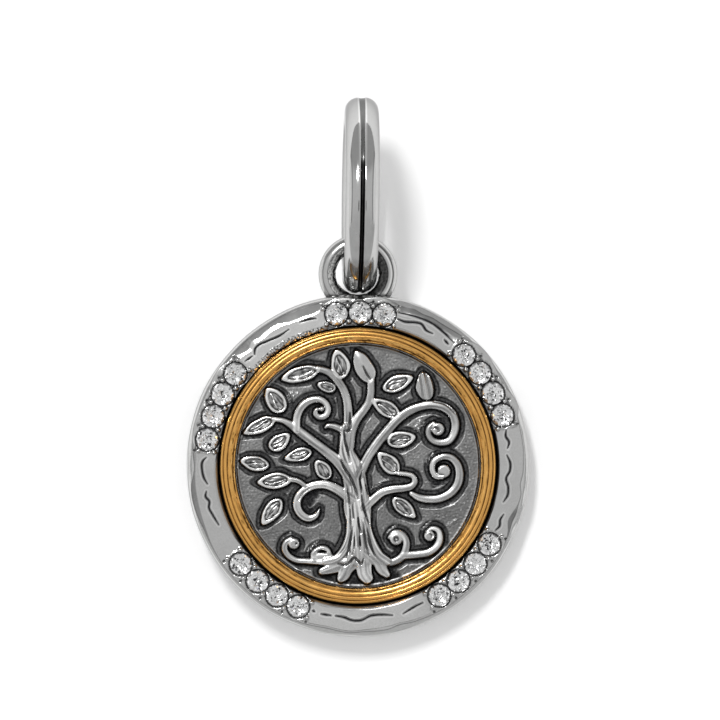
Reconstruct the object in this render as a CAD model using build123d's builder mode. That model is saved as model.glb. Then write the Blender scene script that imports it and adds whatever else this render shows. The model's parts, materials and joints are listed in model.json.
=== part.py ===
"""Tree of life pendant: a silver medallion on a bail, with a gold ring and round stones.

The pendant hangs with its face to -Y and +Z up. The origin is the inside top of the
bail, where a chain carries it. Sizes are in millimetres.
"""
from build123d import *
import os
from math import asin, cos, degrees, hypot, radians, sin, sqrt, tan

os.makedirs("parts", exist_ok=True)

# Bail: a thick ring with two ridges round its outer face and a groove between them
bail_outer_diameter = 14.4
bail_depth = 2.7
bail_width = 2.5
bail_ridge_radius = 1.0
bail_inner_rounding = 0.9
bail_groove_width = 0.42
bail_groove_depth = 0.45

# Loop: a round wire ring soldered to the top of the medallion
loop_play = 0.3
loop_wire_diameter = 1.27
loop_set_in = 0.21
notch_relief = 0.05

# Medallion: the border, its back and the recess for the ring and the plate
disc_diameter = 25.4
disc_thickness = 2.6
border_width = 2.38
shoulder_radius = 0.45
back_rounding = 0.6
recess_depth = 1.2

# Gold ring, let into the recess and standing proud of the border
ring_width = 1.13
ring_proud = 0.35
ring_gap = 0.15
reed_bulge = 0.06

# Tree plate: its ground lies below the border, and the tree stands up from it
plate_gap = 0.05
ground_depth = 0.75
limb_height = 0.5
trunk_height = 0.58
leaf_height = 0.46
leaf_slope = 28.0
eye_height = 0.6
seat_gap = 0.03

# Stones: round brilliants, set in groups in the border
top_stone_count = 3
side_stone_count = 4
stone_diameter = 1.65
stone_spacing = 0.12
stone_fit = 0.04
stone_inner_wall = 0.1
girdle_sink = 0.08
girdle_thickness = 0.04
main_facet_count = 8
girdle_side_count = 16
crown_height = 0.25
crown_angle = 34.5
star_angle = 22.0
upper_girdle_angle = 40.0
pavilion_angle = 40.8
lower_girdle_angle = 42.3
culet_hole_radius = 0.12
bead_radius = 0.17
bead_clearance = 0.06

# Each group of stones: the direction of its middle, in degrees from +X, and its count
STONE_GROUPS = (
    ("top", 89.1, top_stone_count),
    ("upper right", 32.7, side_stone_count),
    ("lower right", -44.4, side_stone_count),
    ("lower left", -126.5, side_stone_count),
    ("upper left", 156.7, side_stone_count),
)

# Section of the gold ring: share of its width from the inner edge, share of its
# proud height at that line. A rounded reed rises between each two lines.
RING_LINES = (
    (0.00, 0.30),
    (0.17, 0.66),
    (0.53, 0.88),
    (0.80, 0.76),
    (1.00, 0.32),
)

# Limbs of the tree. Each row: across, up, half width, in hundredths of the plate's
# radius, measured from its centre.
LIMBS = {
    "trunk": (
        (-9.5, 31.0, 4.6), (-9.8, 12.3, 6.0), (-4.4, -4.1, 9.0), (-1.6, -20.5, 9.2),
        (-0.6, -32.8, 11.0), (0.4, -45.0, 10.4), (0.8, -57.4, 10.6), (2.5, -71.0, 14.0),
    ),
    "left limb": (
        (-9.0, 26.0, 3.6), (-8.0, 42.6, 3.6), (-9.0, 53.3, 3.4), (-11.5, 61.5, 3.3),
        (-17.2, 70.5, 3.1), (-24.6, 77.0, 2.9), (-33.5, 79.5, 2.6),
    ),
    "right limb": (
        (-6.6, 15.6, 3.6), (-4.9, 28.7, 3.6), (-0.8, 38.5, 3.6), (4.9, 45.9, 3.4),
        (9.0, 52.5, 3.2), (10.7, 60.7, 3.1), (10.8, 69.0, 3.1),
    ),
    "thorn": (
        (-12.0, 29.5, 3.0), (-17.5, 33.0, 2.6), (-23.0, 33.3, 2.2), (-26.0, 30.0, 0.9),
    ),
    "lower left limb": (
        (-5.5, -12.0, 4.6), (-17.0, 4.0, 4.4), (-26.2, 11.5, 3.9), (-36.9, 19.7, 3.7),
        (-46.7, 27.0, 3.7), (-54.0, 32.8, 3.2), (-61.5, 36.9, 2.3), (-70.0, 38.3, 1.9),
    ),
    "left scroll": (
        (-50.5, 29.5, 3.2), (-49.6, 41.8, 3.2), (-45.4, 49.2, 3.2), (-38.5, 53.7, 3.0),
        (-31.5, 54.3, 2.7), (-26.4, 51.0, 2.6), (-24.6, 45.6, 2.6), (-27.2, 40.9, 2.4),
        (-32.2, 39.6, 2.2), (-35.9, 43.0, 1.9),
    ),
    "middle scroll": (
        (-6.0, -27.0, 4.4), (-17.0, -19.5, 3.8), (-27.0, -15.6, 3.4), (-35.3, -16.0, 3.3),
        (-43.5, -19.8, 3.3), (-49.0, -26.0, 3.3), (-50.0, -33.5, 3.3), (-46.5, -40.0, 3.2),
        (-40.5, -43.2, 2.9), (-34.5, -40.8, 2.2), (-31.6, -35.5, 0.8),
    ),
    "small leaf stem": (
        (-55.5, -11.2, 2.2), (-49.5, -12.5, 2.1), (-43.5, -16.5, 2.0),
    ),
    "left ground scroll": (
        (-8.0, -79.0, 3.4), (-27.0, -79.0, 2.8), (-42.0, -78.3, 2.5), (-51.5, -77.4, 2.5),
        (-57.6, -73.5, 2.5), (-60.2, -68.0, 2.4), (-58.6, -62.8, 2.1),
    ),
    "ground curl": (
        (-35.6, -77.5, 2.6), (-36.4, -71.0, 2.2), (-32.6, -67.2, 1.9), (-27.0, -67.2, 1.9),
        (-22.8, -70.0, 1.8), (-23.6, -73.4, 1.6), (-28.5, -74.0, 1.3),
    ),
    "long right limb": (
        (1.5, -7.0, 4.0), (8.5, 7.5, 3.8), (15.5, 18.0, 3.8), (23.5, 28.0, 3.8),
        (31.5, 37.0, 3.7), (41.0, 44.3, 3.5), (51.0, 48.5, 3.3), (61.5, 49.8, 3.3),
        (71.0, 47.5, 3.4), (77.5, 42.0, 3.4), (80.0, 33.8, 3.4), (78.5, 26.0, 3.3),
        (73.0, 20.8, 3.1), (65.6, 19.6, 2.8), (59.8, 23.2, 2.3), (58.6, 28.6, 2.0),
    ),
    "right branch": (
        (5.5, -34.5, 3.6), (12.0, -28.2, 3.5), (20.0, -21.8, 3.3), (29.5, -19.2, 3.1),
        (38.5, -18.3, 2.9), (44.3, -16.4, 2.7), (46.7, -12.6, 2.5), (45.2, -8.9, 2.2),
        (40.0, -7.0, 2.0), (33.0, -6.2, 2.0),
    ),
    "right scroll": (
        (43.8, -22.8, 2.0), (49.5, -26.0, 2.8), (58.0, -27.5, 3.1), (68.0, -26.6, 3.2),
        (76.2, -22.2, 3.4), (82.0, -14.6, 3.5), (83.4, -6.4, 3.4), (81.4, 1.4, 3.1),
        (76.0, 6.6, 2.8), (68.6, 7.2, 2.6), (62.4, 3.4, 2.6), (61.0, -3.4, 2.2),
        (65.0, -8.6, 1.8),
    ),
    "right ground scroll": (
        (10.0, -75.0, 4.2), (20.0, -79.0, 3.2), (29.0, -79.0, 3.1), (35.8, -75.0, 3.2),
        (39.2, -68.4, 3.0), (39.4, -61.4, 2.8), (35.8, -56.0, 2.5), (29.8, -54.8, 2.2),
        (26.0, -59.0, 1.9),
    ),
    "far ground scroll": (
        (38.0, -73.6, 3.2), (49.0, -72.8, 3.2), (58.5, -71.0, 3.2), (65.0, -65.8, 3.1),
        (67.4, -58.8, 2.9), (65.6, -53.0, 2.4), (60.6, -51.4, 1.9), (56.4, -54.4, 1.5),
    ),
    "outer left root": (
        (-8.0, -81.0, 4.0), (-16.0, -84.5, 3.6), (-23.0, -87.5, 3.0), (-29.0, -90.0, 2.0),
    ),
    "inner left root": (
        (-6.0, -79.0, 6.0), (-9.5, -86.0, 4.6), (-12.0, -94.0, 3.6),
    ),
    "middle root": (
        (4.0, -74.0, 8.0), (4.0, -84.0, 6.4), (4.4, -93.5, 5.0),
    ),
    "right root": (
        (11.0, -76.0, 5.0), (16.5, -84.0, 3.8), (22.0, -91.0, 2.8),
    ),
}

# Leaves. Each row: name, tip across and up, base across and up, half width, in
# hundredths of the plate's radius.
LEAVES = (
    ("crown left", -17.5, 95.5, -12.0, 71.5, 7.4),
    ("crown right", -2.6, 95.0, 11.8, 68.0, 7.2),
    ("long left", -64.0, 70.5, -31.0, 79.5, 6.2),
    ("small left", -34.0, 67.2, -17.6, 62.6, 4.2),
    ("upper left", -75.2, 64.0, -61.0, 43.8, 7.6),
    ("far left", -95.0, 26.0, -67.5, 38.8, 5.6),
    ("left one", -56.0, 26.2, -72.5, 13.5, 6.0),
    ("left two", -60.5, 5.6, -37.5, 11.8, 5.2),
    ("left three", -97.5, 4.2, -72.6, 0.2, 5.8),
    ("left four", -34.6, 4.6, -23.2, -10.8, 5.8),
    ("left five", -83.5, -14.0, -54.6, -11.2, 6.4),
    ("left six", -79.0, -48.5, -63.0, -27.0, 6.3),
    ("right one", 45.2, 73.0, 20.4, 62.6, 6.2),
    ("right two", 52.8, 77.4, 56.8, 53.6, 7.0),
    ("right three", 11.2, 54.5, 34.2, 40.2, 6.2),
    ("right four", 47.6, 23.6, 23.8, 19.4, 6.6),
    ("right five", 16.6, 10.8, 33.4, -6.2, 6.6),
    ("right six", 47.4, -42.8, 28.6, -26.8, 5.8),
)

# Round eyes at the ends of the scrolls. Each row: name, across, up, radius, in
# hundredths of the plate's radius.
EYES = (
    ("left scroll", -30.8, 46.0, 2.6),
    ("long right limb", 67.0, 30.0, 4.4),
    ("right scroll", 70.2, -4.6, 5.4),
    ("left ground scroll", -52.6, -65.0, 3.9),
    ("right ground scroll", 31.4, -60.6, 3.6),
    ("far ground scroll", 59.4, -57.4, 4.0),
)

# Sizes that follow from those above
bail_outer_radius = bail_outer_diameter / 2
bail_inner_radius = bail_outer_radius - bail_depth
disc_radius = disc_diameter / 2
recess_radius = disc_radius - border_width
ring_outer_radius = recess_radius - ring_gap
ring_inner_radius = ring_outer_radius - ring_width
plate_radius = ring_inner_radius - plate_gap
plate_thickness = recess_depth - seat_gap - ground_depth
loop_hole_radius = max(bail_depth, bail_width) / 2 + loop_play
loop_wire_radius = loop_wire_diameter / 2
loop_ring_radius = loop_hole_radius + loop_wire_radius
stone_radius = stone_diameter / 2
stone_circle_radius = recess_radius + stone_inner_wall + stone_fit + stone_radius
half_stone_pitch = degrees(asin((stone_radius + stone_spacing / 2) / stone_circle_radius))

# Heights of the bail's centre, the loop's centre and the medallion's centre
bail_center_z = -bail_inner_radius
loop_center_z = -2 * bail_inner_radius - bail_depth / 2
disc_center_z = loop_center_z - loop_hole_radius + loop_set_in - disc_radius

# Planes of the medallion, all facing the viewer
disc_plane = Plane(origin=(0, 0, disc_center_z), x_dir=(1, 0, 0), z_dir=(0, -1, 0))
back_plane = disc_plane.offset(-disc_thickness / 2)
face_plane = disc_plane.offset(disc_thickness / 2)
floor_plane = face_plane.offset(-recess_depth)
seat_plane = floor_plane.offset(seat_gap)
ground_plane = face_plane.offset(-ground_depth)
girdle_plane = face_plane.offset(-girdle_sink)


def save(piece, name):
    """Label a finished piece and write it."""
    piece.part.label = name
    export_step(piece.part, f"parts/{name}.step")


def on_plate(across, up):
    """A point of the plate, from hundredths of its radius."""
    return (plate_radius * across / 100, plate_radius * up / 100)


def band_edges(rows):
    """The left and right edges of a band whose rows are across, up and half width."""
    left = []
    right = []
    for index, (across, up, half_width) in enumerate(rows):
        before = rows[max(index - 1, 0)]
        after = rows[min(index + 1, len(rows) - 1)]
        run = after[0] - before[0]
        rise = after[1] - before[1]
        length = hypot(run, rise)
        side_across = -rise / length * half_width
        side_up = run / length * half_width
        left.append(on_plate(across + side_across, up + side_up))
        right.append(on_plate(across - side_across, up - side_up))
    return left, right


def group_angles(middle, places):
    """Directions of evenly pitched places, centred on the middle of a group."""
    first = middle - (places - 1) * half_stone_pitch
    return [first + 2 * half_stone_pitch * place for place in range(places)]


def around(radius, angle):
    """A point of the medallion's face at a radius and a direction in degrees."""
    return (radius * cos(radians(angle)), radius * sin(radians(angle)))


# Bail
bail_axis = Axis((0, 0, bail_center_z), (1, 0, 0))
half_bail_width = bail_width / 2
inner_flat = half_bail_width - bail_inner_rounding
ridge_center = half_bail_width - bail_ridge_radius
ridge_top = bail_depth
ridge_shoulder = bail_depth - bail_ridge_radius
groove_lip = bail_groove_width / 2
with BuildPart() as bail:
    with BuildSketch(Plane.XZ):
        with BuildLine():
            inner = Line((-inner_flat, 0), (inner_flat, 0))
            right_corner = RadiusArc(
                inner @ 1, (half_bail_width, bail_inner_rounding), -bail_inner_rounding
            )
            right_side = Line(right_corner @ 1, (half_bail_width, ridge_shoulder))
            right_ridge = RadiusArc(right_side @ 1, (ridge_center, ridge_top), -bail_ridge_radius)
            crown = Line(right_ridge @ 1, (-ridge_center, ridge_top))
            left_ridge = RadiusArc(crown @ 1, (-half_bail_width, ridge_shoulder), -bail_ridge_radius)
            left_side = Line(left_ridge @ 1, (-half_bail_width, bail_inner_rounding))
            RadiusArc(left_side @ 1, inner @ 0, -bail_inner_rounding)
        make_face()
        with BuildLine():
            Polyline(
                (-groove_lip, ridge_top + bail_groove_depth),
                (-groove_lip, ridge_top),
                (0, ridge_top - bail_groove_depth),
                (groove_lip, ridge_top),
                (groove_lip, ridge_top + bail_groove_depth),
                close=True,
            )
        make_face(mode=Mode.SUBTRACT)
    revolve(axis=bail_axis)
save(bail, "bail")

# Frame: the medallion's border and back, its loop, its stone seats and its beads
stone_angles = [angle for _, middle, count in STONE_GROUPS for angle in group_angles(middle, count)]
bead_angles = [angle for _, middle, count in STONE_GROUPS for angle in group_angles(middle, count + 1)]
half_stone_step = stone_radius + stone_spacing / 2
bead_offset = sqrt((stone_radius + bead_clearance + bead_radius) ** 2 - half_stone_step**2)
bead_middle_radius = stone_circle_radius * cos(radians(half_stone_pitch))
seat_radius = stone_radius + stone_fit
pavilion_depth = stone_radius * tan(radians(pavilion_angle))
seat_depth = pavilion_depth + girdle_thickness + 2 * stone_fit
loop_plane = Plane(origin=(0, 0, loop_center_z), x_dir=(1, 0, 0), z_dir=(0, -1, 0))
with BuildPart() as frame:
    with BuildSketch(back_plane):
        Circle(disc_radius)
    extrude(amount=disc_thickness)
    rims = frame.edges().filter_by(GeomType.CIRCLE).sort_by(Axis.Y)
    fillet(rims[0], radius=shoulder_radius)
    fillet(frame.edges().filter_by(GeomType.CIRCLE).sort_by(Axis.Y)[-1], radius=back_rounding)
    with BuildSketch(face_plane):
        Circle(recess_radius)
    extrude(amount=-recess_depth, mode=Mode.SUBTRACT)
    with BuildSketch(loop_plane):
        Circle(loop_hole_radius + notch_relief)
    extrude(amount=disc_thickness, both=True, mode=Mode.SUBTRACT)
    with Locations(loop_plane):
        Torus(loop_ring_radius, loop_wire_radius)
    for angle in stone_angles:
        with Locations(girdle_plane):
            with Locations(around(stone_circle_radius, angle)):
                CounterSinkHole(
                    culet_hole_radius,
                    seat_radius,
                    depth=seat_depth,
                    counter_sink_angle=180 - 2 * pavilion_angle,
                )
    for angle in bead_angles:
        with Locations(face_plane):
            with Locations(
                around(bead_middle_radius - bead_offset, angle),
                around(bead_middle_radius + bead_offset, angle),
            ):
                Sphere(bead_radius)
save(frame, "frame")

# Gold ring
ring_height = recess_depth - seat_gap + ring_proud
reed_base = ring_height - ring_proud
ring_section_plane = Plane(
    origin=(0, seat_plane.origin.Y, disc_center_z), x_dir=(1, 0, 0), z_dir=(0, 0, 1)
)
with BuildPart() as gold_ring:
    with BuildSketch(ring_section_plane):
        with BuildLine():
            crest = [
                (ring_inner_radius + ring_width * share, -(reed_base + ring_proud * height))
                for share, height in RING_LINES
            ]
            for start, end in zip(crest, crest[1:]):
                middle = ((start[0] + end[0]) / 2, (start[1] + end[1]) / 2 - reed_bulge)
                ThreePointArc(start, middle, end)
            Polyline(crest[-1], (ring_outer_radius, 0), (ring_inner_radius, 0), crest[0])
        make_face()
    revolve(axis=Axis((0, 0, disc_center_z), (0, 1, 0)))
save(gold_ring, "gold_ring")

# Tree plate
with BuildPart() as tree_plate:
    with BuildSketch(seat_plane):
        Circle(plate_radius)
    extrude(amount=plate_thickness)
    for name, rows in LIMBS.items():
        left, right = band_edges(rows)
        with BuildSketch(ground_plane):
            with BuildLine():
                Spline(*left)
                Line(left[-1], right[-1])
                Spline(*reversed(right))
                Line(right[0], left[0])
            make_face()
        extrude(amount=trunk_height if name == "trunk" else limb_height)
    for name, tip_across, tip_up, base_across, base_up, half_width in LEAVES:
        tip = Vector(*on_plate(tip_across, tip_up))
        base = Vector(*on_plate(base_across, base_up))
        middle = (tip + base) * 0.5
        along = (base - tip).normalized()
        side = Vector(-along.Y, along.X) * (plate_radius * half_width / 100)
        with BuildSketch(ground_plane):
            with BuildLine():
                ThreePointArc(tip, middle + side, base)
                ThreePointArc(base, middle - side, tip)
            make_face()
        extrude(amount=leaf_height, taper=leaf_slope)
    for name, across, up, radius in EYES:
        with BuildSketch(ground_plane):
            with Locations(on_plate(across, up)):
                Circle(plate_radius * radius / 100)
        extrude(amount=eye_height)
save(tree_plate, "tree_plate")

# Crystals: one brilliant, cut facet by facet, and a copy of it in each seat


def cut_facets(count, first_angle, tilt, reach, height):
    """Cut a round of facets whose planes pass at a reach and a height from the axis."""
    lean = sin(radians(tilt))
    for facet in range(count):
        angle = radians(first_angle + 360 / count * facet)
        point = (reach * cos(angle), reach * sin(angle), height)
        outward = (lean * cos(angle), lean * sin(angle), cos(radians(tilt)))
        split(bisect_by=Plane(origin=point, z_dir=outward), keep=Keep.BOTTOM)


side_reach = stone_radius * cos(radians(180 / girdle_side_count))
table_reach = stone_radius - crown_height / tan(radians(crown_angle))
star_reach = table_reach * cos(radians(180 / main_facet_count))
half_girdle = girdle_thickness / 2
with BuildPart() as brilliant:
    with BuildSketch(Plane.XY.offset(-pavilion_depth - half_girdle)):
        RegularPolygon(stone_radius, girdle_side_count)
    extrude(amount=pavilion_depth + girdle_thickness + crown_height)
    cut_facets(main_facet_count, 0, crown_angle, stone_radius, half_girdle)
    cut_facets(main_facet_count, 180 / main_facet_count, star_angle, star_reach, half_girdle + crown_height)
    cut_facets(girdle_side_count, 180 / girdle_side_count, upper_girdle_angle, side_reach, half_girdle)
    cut_facets(main_facet_count, 0, 180 - pavilion_angle, stone_radius, -half_girdle)
    cut_facets(girdle_side_count, 180 / girdle_side_count, 180 - lower_girdle_angle, side_reach, -half_girdle)

for number, angle in enumerate(stone_angles, start=1):
    with BuildPart() as crystal:
        with Locations(girdle_plane):
            with Locations(around(stone_circle_radius, angle)):
                add(brilliant.part)
    save(crystal, f"crystal_{number:02d}")
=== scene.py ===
"""Tree of life pendant: the dressed model, its materials, the lights and the camera.

Sizes are in millimetres, directions in degrees, and the tables in the units that their
comments state. Everything that reaches Blender is in metres. Across the medallion's
face, u runs to the right and v up from its centre, and heights stand out of its face
plane.
"""
import json
from math import cos, hypot, pi, radians, sin, tan

import bmesh
import bpy
import numpy as np
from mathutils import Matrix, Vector, noise


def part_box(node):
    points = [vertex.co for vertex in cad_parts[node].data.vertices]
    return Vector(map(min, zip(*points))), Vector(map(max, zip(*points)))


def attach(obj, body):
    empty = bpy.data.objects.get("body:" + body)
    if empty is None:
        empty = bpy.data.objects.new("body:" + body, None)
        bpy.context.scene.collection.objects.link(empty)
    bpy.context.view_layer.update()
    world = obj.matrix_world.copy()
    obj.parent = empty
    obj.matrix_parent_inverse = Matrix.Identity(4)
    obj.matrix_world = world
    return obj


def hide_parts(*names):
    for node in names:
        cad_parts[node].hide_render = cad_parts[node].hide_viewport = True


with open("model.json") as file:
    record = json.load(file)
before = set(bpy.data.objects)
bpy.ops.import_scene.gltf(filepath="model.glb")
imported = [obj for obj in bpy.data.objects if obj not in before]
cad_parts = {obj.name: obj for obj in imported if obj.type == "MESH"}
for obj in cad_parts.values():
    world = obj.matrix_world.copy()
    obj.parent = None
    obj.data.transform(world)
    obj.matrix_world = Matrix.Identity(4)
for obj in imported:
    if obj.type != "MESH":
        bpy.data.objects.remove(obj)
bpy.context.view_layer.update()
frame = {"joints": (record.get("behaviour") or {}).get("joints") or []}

MM = 0.001

# Places that are read from the frame
bail_low, bail_high = (np.array(corner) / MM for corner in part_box("bail"))
frame_low, frame_high = (np.array(corner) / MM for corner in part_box("frame"))
ring_low, ring_high = (np.array(corner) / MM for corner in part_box("gold_ring"))
plate_low, plate_high = (np.array(corner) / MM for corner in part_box("tree_plate"))
hinge_z = frame["joints"][0]["pos_m"][2] / MM
disc_z = (plate_low[2] + plate_high[2]) / 2
disc_radius = disc_z - frame_low[2]
plate_radius = (plate_high[0] - plate_low[0]) / 2
ring_outer_radius = (ring_high[0] - ring_low[0]) / 2
back_y = frame_high[1]

# Bail
bail_depth = 2.7
bail_width = 2.5
bail_ridge_radius = 1.0
bail_inner_rounding = 1.08
bail_lip_rounding = 0.07
bail_groove_width = 0.42
bail_groove_depth = 0.45
bail_foot_drop = 0.09
bail_turn = radians(1.4)
bail_lean = radians(0.7)
bail_shift = 0.18
bail_z = (bail_low[2] + bail_high[2]) / 2
bail_inner_radius = (bail_high[2] - bail_low[2]) / 2 - bail_depth

# Loop
loop_hole_radius = 1.65
loop_wire_radius = 0.635
loop_radius = loop_hole_radius + loop_wire_radius
loop_fullness = 0.11
loop_beat_depth = 0.06
notch_radius = 1.52

# Medallion
disc_thickness = 2.6
recess_radius = 10.32
recess_depth = 1.2
back_rounding = 0.6
rim_inset = 0.01
rim_unevenness = 0.03
facet_slope = radians(14)
outer_facet_slope = radians(25)
bevel_slope = radians(26)
shoulder_drop = 0.5
shoulder_start = radians(46)
border_width = disc_radius - rim_inset - recess_radius
border_line_width = 0.18
border_line_depth = 0.012
dent_depth = 0.020
fine_dent_depth = 0.006
bevel_roughness = 0.035
face_y = back_y - disc_thickness
back_height = back_rounding - disc_thickness

# Gold ring
ring_width = 1.13
ring_inner_radius = ring_outer_radius - ring_width
ring_proud = 0.35
reed_bulge = 0.07
reed_groove_depth = 0.035

# Tree plate
ground_depth = 0.75
trough_depth = 0.06
trough_reach = 0.47
ridge_height = 0.022
ridge_reach = 0.46
lip_height = 0.05
limb_height = 0.5
trunk_height = 0.58
limb_fullness = 1.07
limb_fillet = 0.05
limb_edge_radius = 0.15
trunk_edge_radius = 0.24
spine_height = 0.035
form_flank = 0.07
bark_groove_depth = 0.17
leaf_height = 0.46
leaf_edge_radius = 0.13
leaf_basin_depth = 0.15
eye_height = 0.58
eye_edge_radius = 0.2
dimple_depth = 0.15
burr_height = 0.06
fine_fillet = 0.03
unit = plate_radius / 100

# Stones
stone_radius = 0.825
seat_radius = 0.865
girdle_sink = 0.08
girdle_thickness = 0.04
crown_height = 0.25
crown_angle = 34.5
star_angle = 22.0
upper_girdle_angle = 40.0
pavilion_angle = 40.8
lower_girdle_angle = 42.3
stone_pitch = 9.01
stone_circle_radius = 11.285
channel_depth = 0.14
channel_outer_radius = 12.08
channel_end_degrees = 4.3
collar_radius = 0.965
collar_height = 0.05
ditch_depth = 0.14
bead_radius = 0.18
bead_sink = 0.02
bead_offset = 0.586
bead_notch_offset = 0.30
bead_notch_depth = 0.12

# How finely the meshes are drawn
bail_turns = 288
loop_turns = 240
loop_section_points = 76
ring_turns = 560
reed_points = 12
border_columns = 1560
columns_per_back_column = 4
plate_columns = 307

# Camera
shown_width = 53.18
camera_distance = 600.0
camera_across = 0.148
camera_above_disc = 7.79

# Groups of stones, clockwise from the top. Each row: direction of its middle, its count,
# and whether its stones sit in one cut channel.
STONE_GROUPS = (
    (89.1, 3, True), (32.7, 4, True), (-44.4, 4, False), (-126.5, 4, False), (156.7, 4, True),
)

# The border's edges. Each row: direction; then, in hundredths of the border's width from
# its inner edge, the top of the bevel, the first and the second line of the hammered
# facets and the shoulder; and how bright the outer facet is painted, in hundredths, where
# low values paint its dark reflections.
BORDER = (
    (0, 5, 52, 76, 79, 95), (5, 5, 47, 78, 81, 95), (10, 5, 51, 79, 81, 95),
    (14, 5, 48, 79, 81, 95), (17, 4, 78, 80, 82, 95), (30, 4, 80, 82, 84, 95),
    (49, 5, 78, 80, 82, 90), (53, 7, 51, 66, 80, 85), (57, 9, 55, 63, 77, 75),
    (60, 10, 58, 63, 77, 65), (63, 11, 63, 66, 79, 60), (67, 11, 63, 66, 77, 60),
    (70, 11, 61, 65, 81, 60), (75, 9, 58, 62, 79, 65), (78, 5, 79, 82, 85, 90),
    (90, 5, 80, 83, 85, 95), (101, 6, 76, 80, 84, 90), (104.5, 10, 56, 61, 85, 80),
    (110, 12, 52, 57, 86, 80), (115, 13, 54, 58, 87, 75), (118, 15, 58, 66, 87, 70),
    (120, 15, 59, 72, 86, 70), (122.5, 15, 60, 72, 86, 72), (125, 15, 58, 72, 86, 75),
    (127.5, 15, 57, 67, 86, 75), (130.5, 13, 60, 72, 86, 70), (132.3, 12, 52, 63, 87, 60),
    (134, 12, 54, 61, 87, 45), (136, 11, 58, 66, 87, 45), (138, 9, 60, 77, 87, 80),
    (141, 5, 78, 82, 87, 90), (156, 4, 80, 84, 87, 95), (172, 5, 78, 81, 84, 90),
    (176, 6, 66, 68, 79, 85), (181, 12, 66, 69, 73, 80), (184, 13, 69, 71, 79, 60),
    (187, 13, 70, 72, 87, 55), (190, 13, 70, 72, 90, 55), (196, 13, 71, 73, 89, 60),
    (203, 12, 74, 76, 83, 60), (208, 9, 78, 80, 84, 70), (214, 5, 80, 83, 85, 90),
    (230, 5, 80, 83, 85, 95), (250, 7, 79, 81, 84, 90), (255, 11, 76, 78, 81, 85),
    (259, 12, 74, 76, 79, 80), (263, 13, 77, 79, 82, 80), (267, 13, 80, 82, 85, 80),
    (272, 13, 76, 78, 81, 85), (277, 13, 74, 79, 82, 85), (281, 12, 73, 79, 81, 85),
    (284, 12, 71, 73, 76, 85), (290, 10, 75, 77, 80, 90), (297, 6, 76, 79, 82, 95),
    (315, 4, 78, 80, 82, 95), (332, 5, 77, 79, 82, 85), (336, 6, 71, 73, 79, 45),
    (340, 6, 58, 60, 75, 45), (343, 6, 62, 65, 78, 45), (345.5, 5, 71, 73, 77, 70),
    (350, 5, 74, 76, 79, 90), (353.5, 5, 68, 70, 72, 90), (357, 5, 66, 74, 77, 95),
)

# Lines cut in the border. Each place of a line: direction, and hundredths of the
# border's width from its inner edge.
BORDER_LINES = (
    ((52, 50), (57, 57), (62, 63), (68, 62), (75, 57)),
    ((53.3, 35), (55.5, 39)),
    ((60.5, 36), (63, 35), (66, 47), (68, 44), (72, 35), (75.5, 38)),
    ((106, 40), (108.5, 44), (112, 45)),
    ((117, 39), (121, 36), (126, 43), (130, 50), (131.4, 48), (133, 36)),
    ((134, 37), (137.2, 42)),
    ((177, 37), (178.3, 47), (182, 49), (184.5, 45), (187, 36)),
    ((189.7, 43), (191.4, 48), (193.6, 40), (195.8, 46), (198.4, 42), (203, 35)),
    ((252.6, 37), (253.5, 38)),
    ((256, 40), (259.8, 38)),
    ((261.5, 37), (264.5, 38), (268, 46), (271, 46), (275, 33), (278, 33), (283, 42)),
    ((287, 46), (290, 40), (292, 37), (295.3, 36)),
    ((334.8, 37), (336.8, 43), (339.2, 38), (341.4, 42)),
    ((346, 31), (349, 39), (352, 36), (355, 27), (358, 37), (361, 38), (364, 29)),
    ((366.6, 33), (368.8, 40), (371.2, 33), (373.4, 38)),
)

# Section of the gold ring: share of its width from the inner edge, share of its
# proud height at that line. A rounded reed rises between each two lines.
RING_LINES = ((0.00, 0.30), (0.17, 0.66), (0.53, 0.88), (0.80, 0.76), (1.00, 0.32))

# The tables of the tree are in hundredths of the plate's radius, from its centre.

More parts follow.
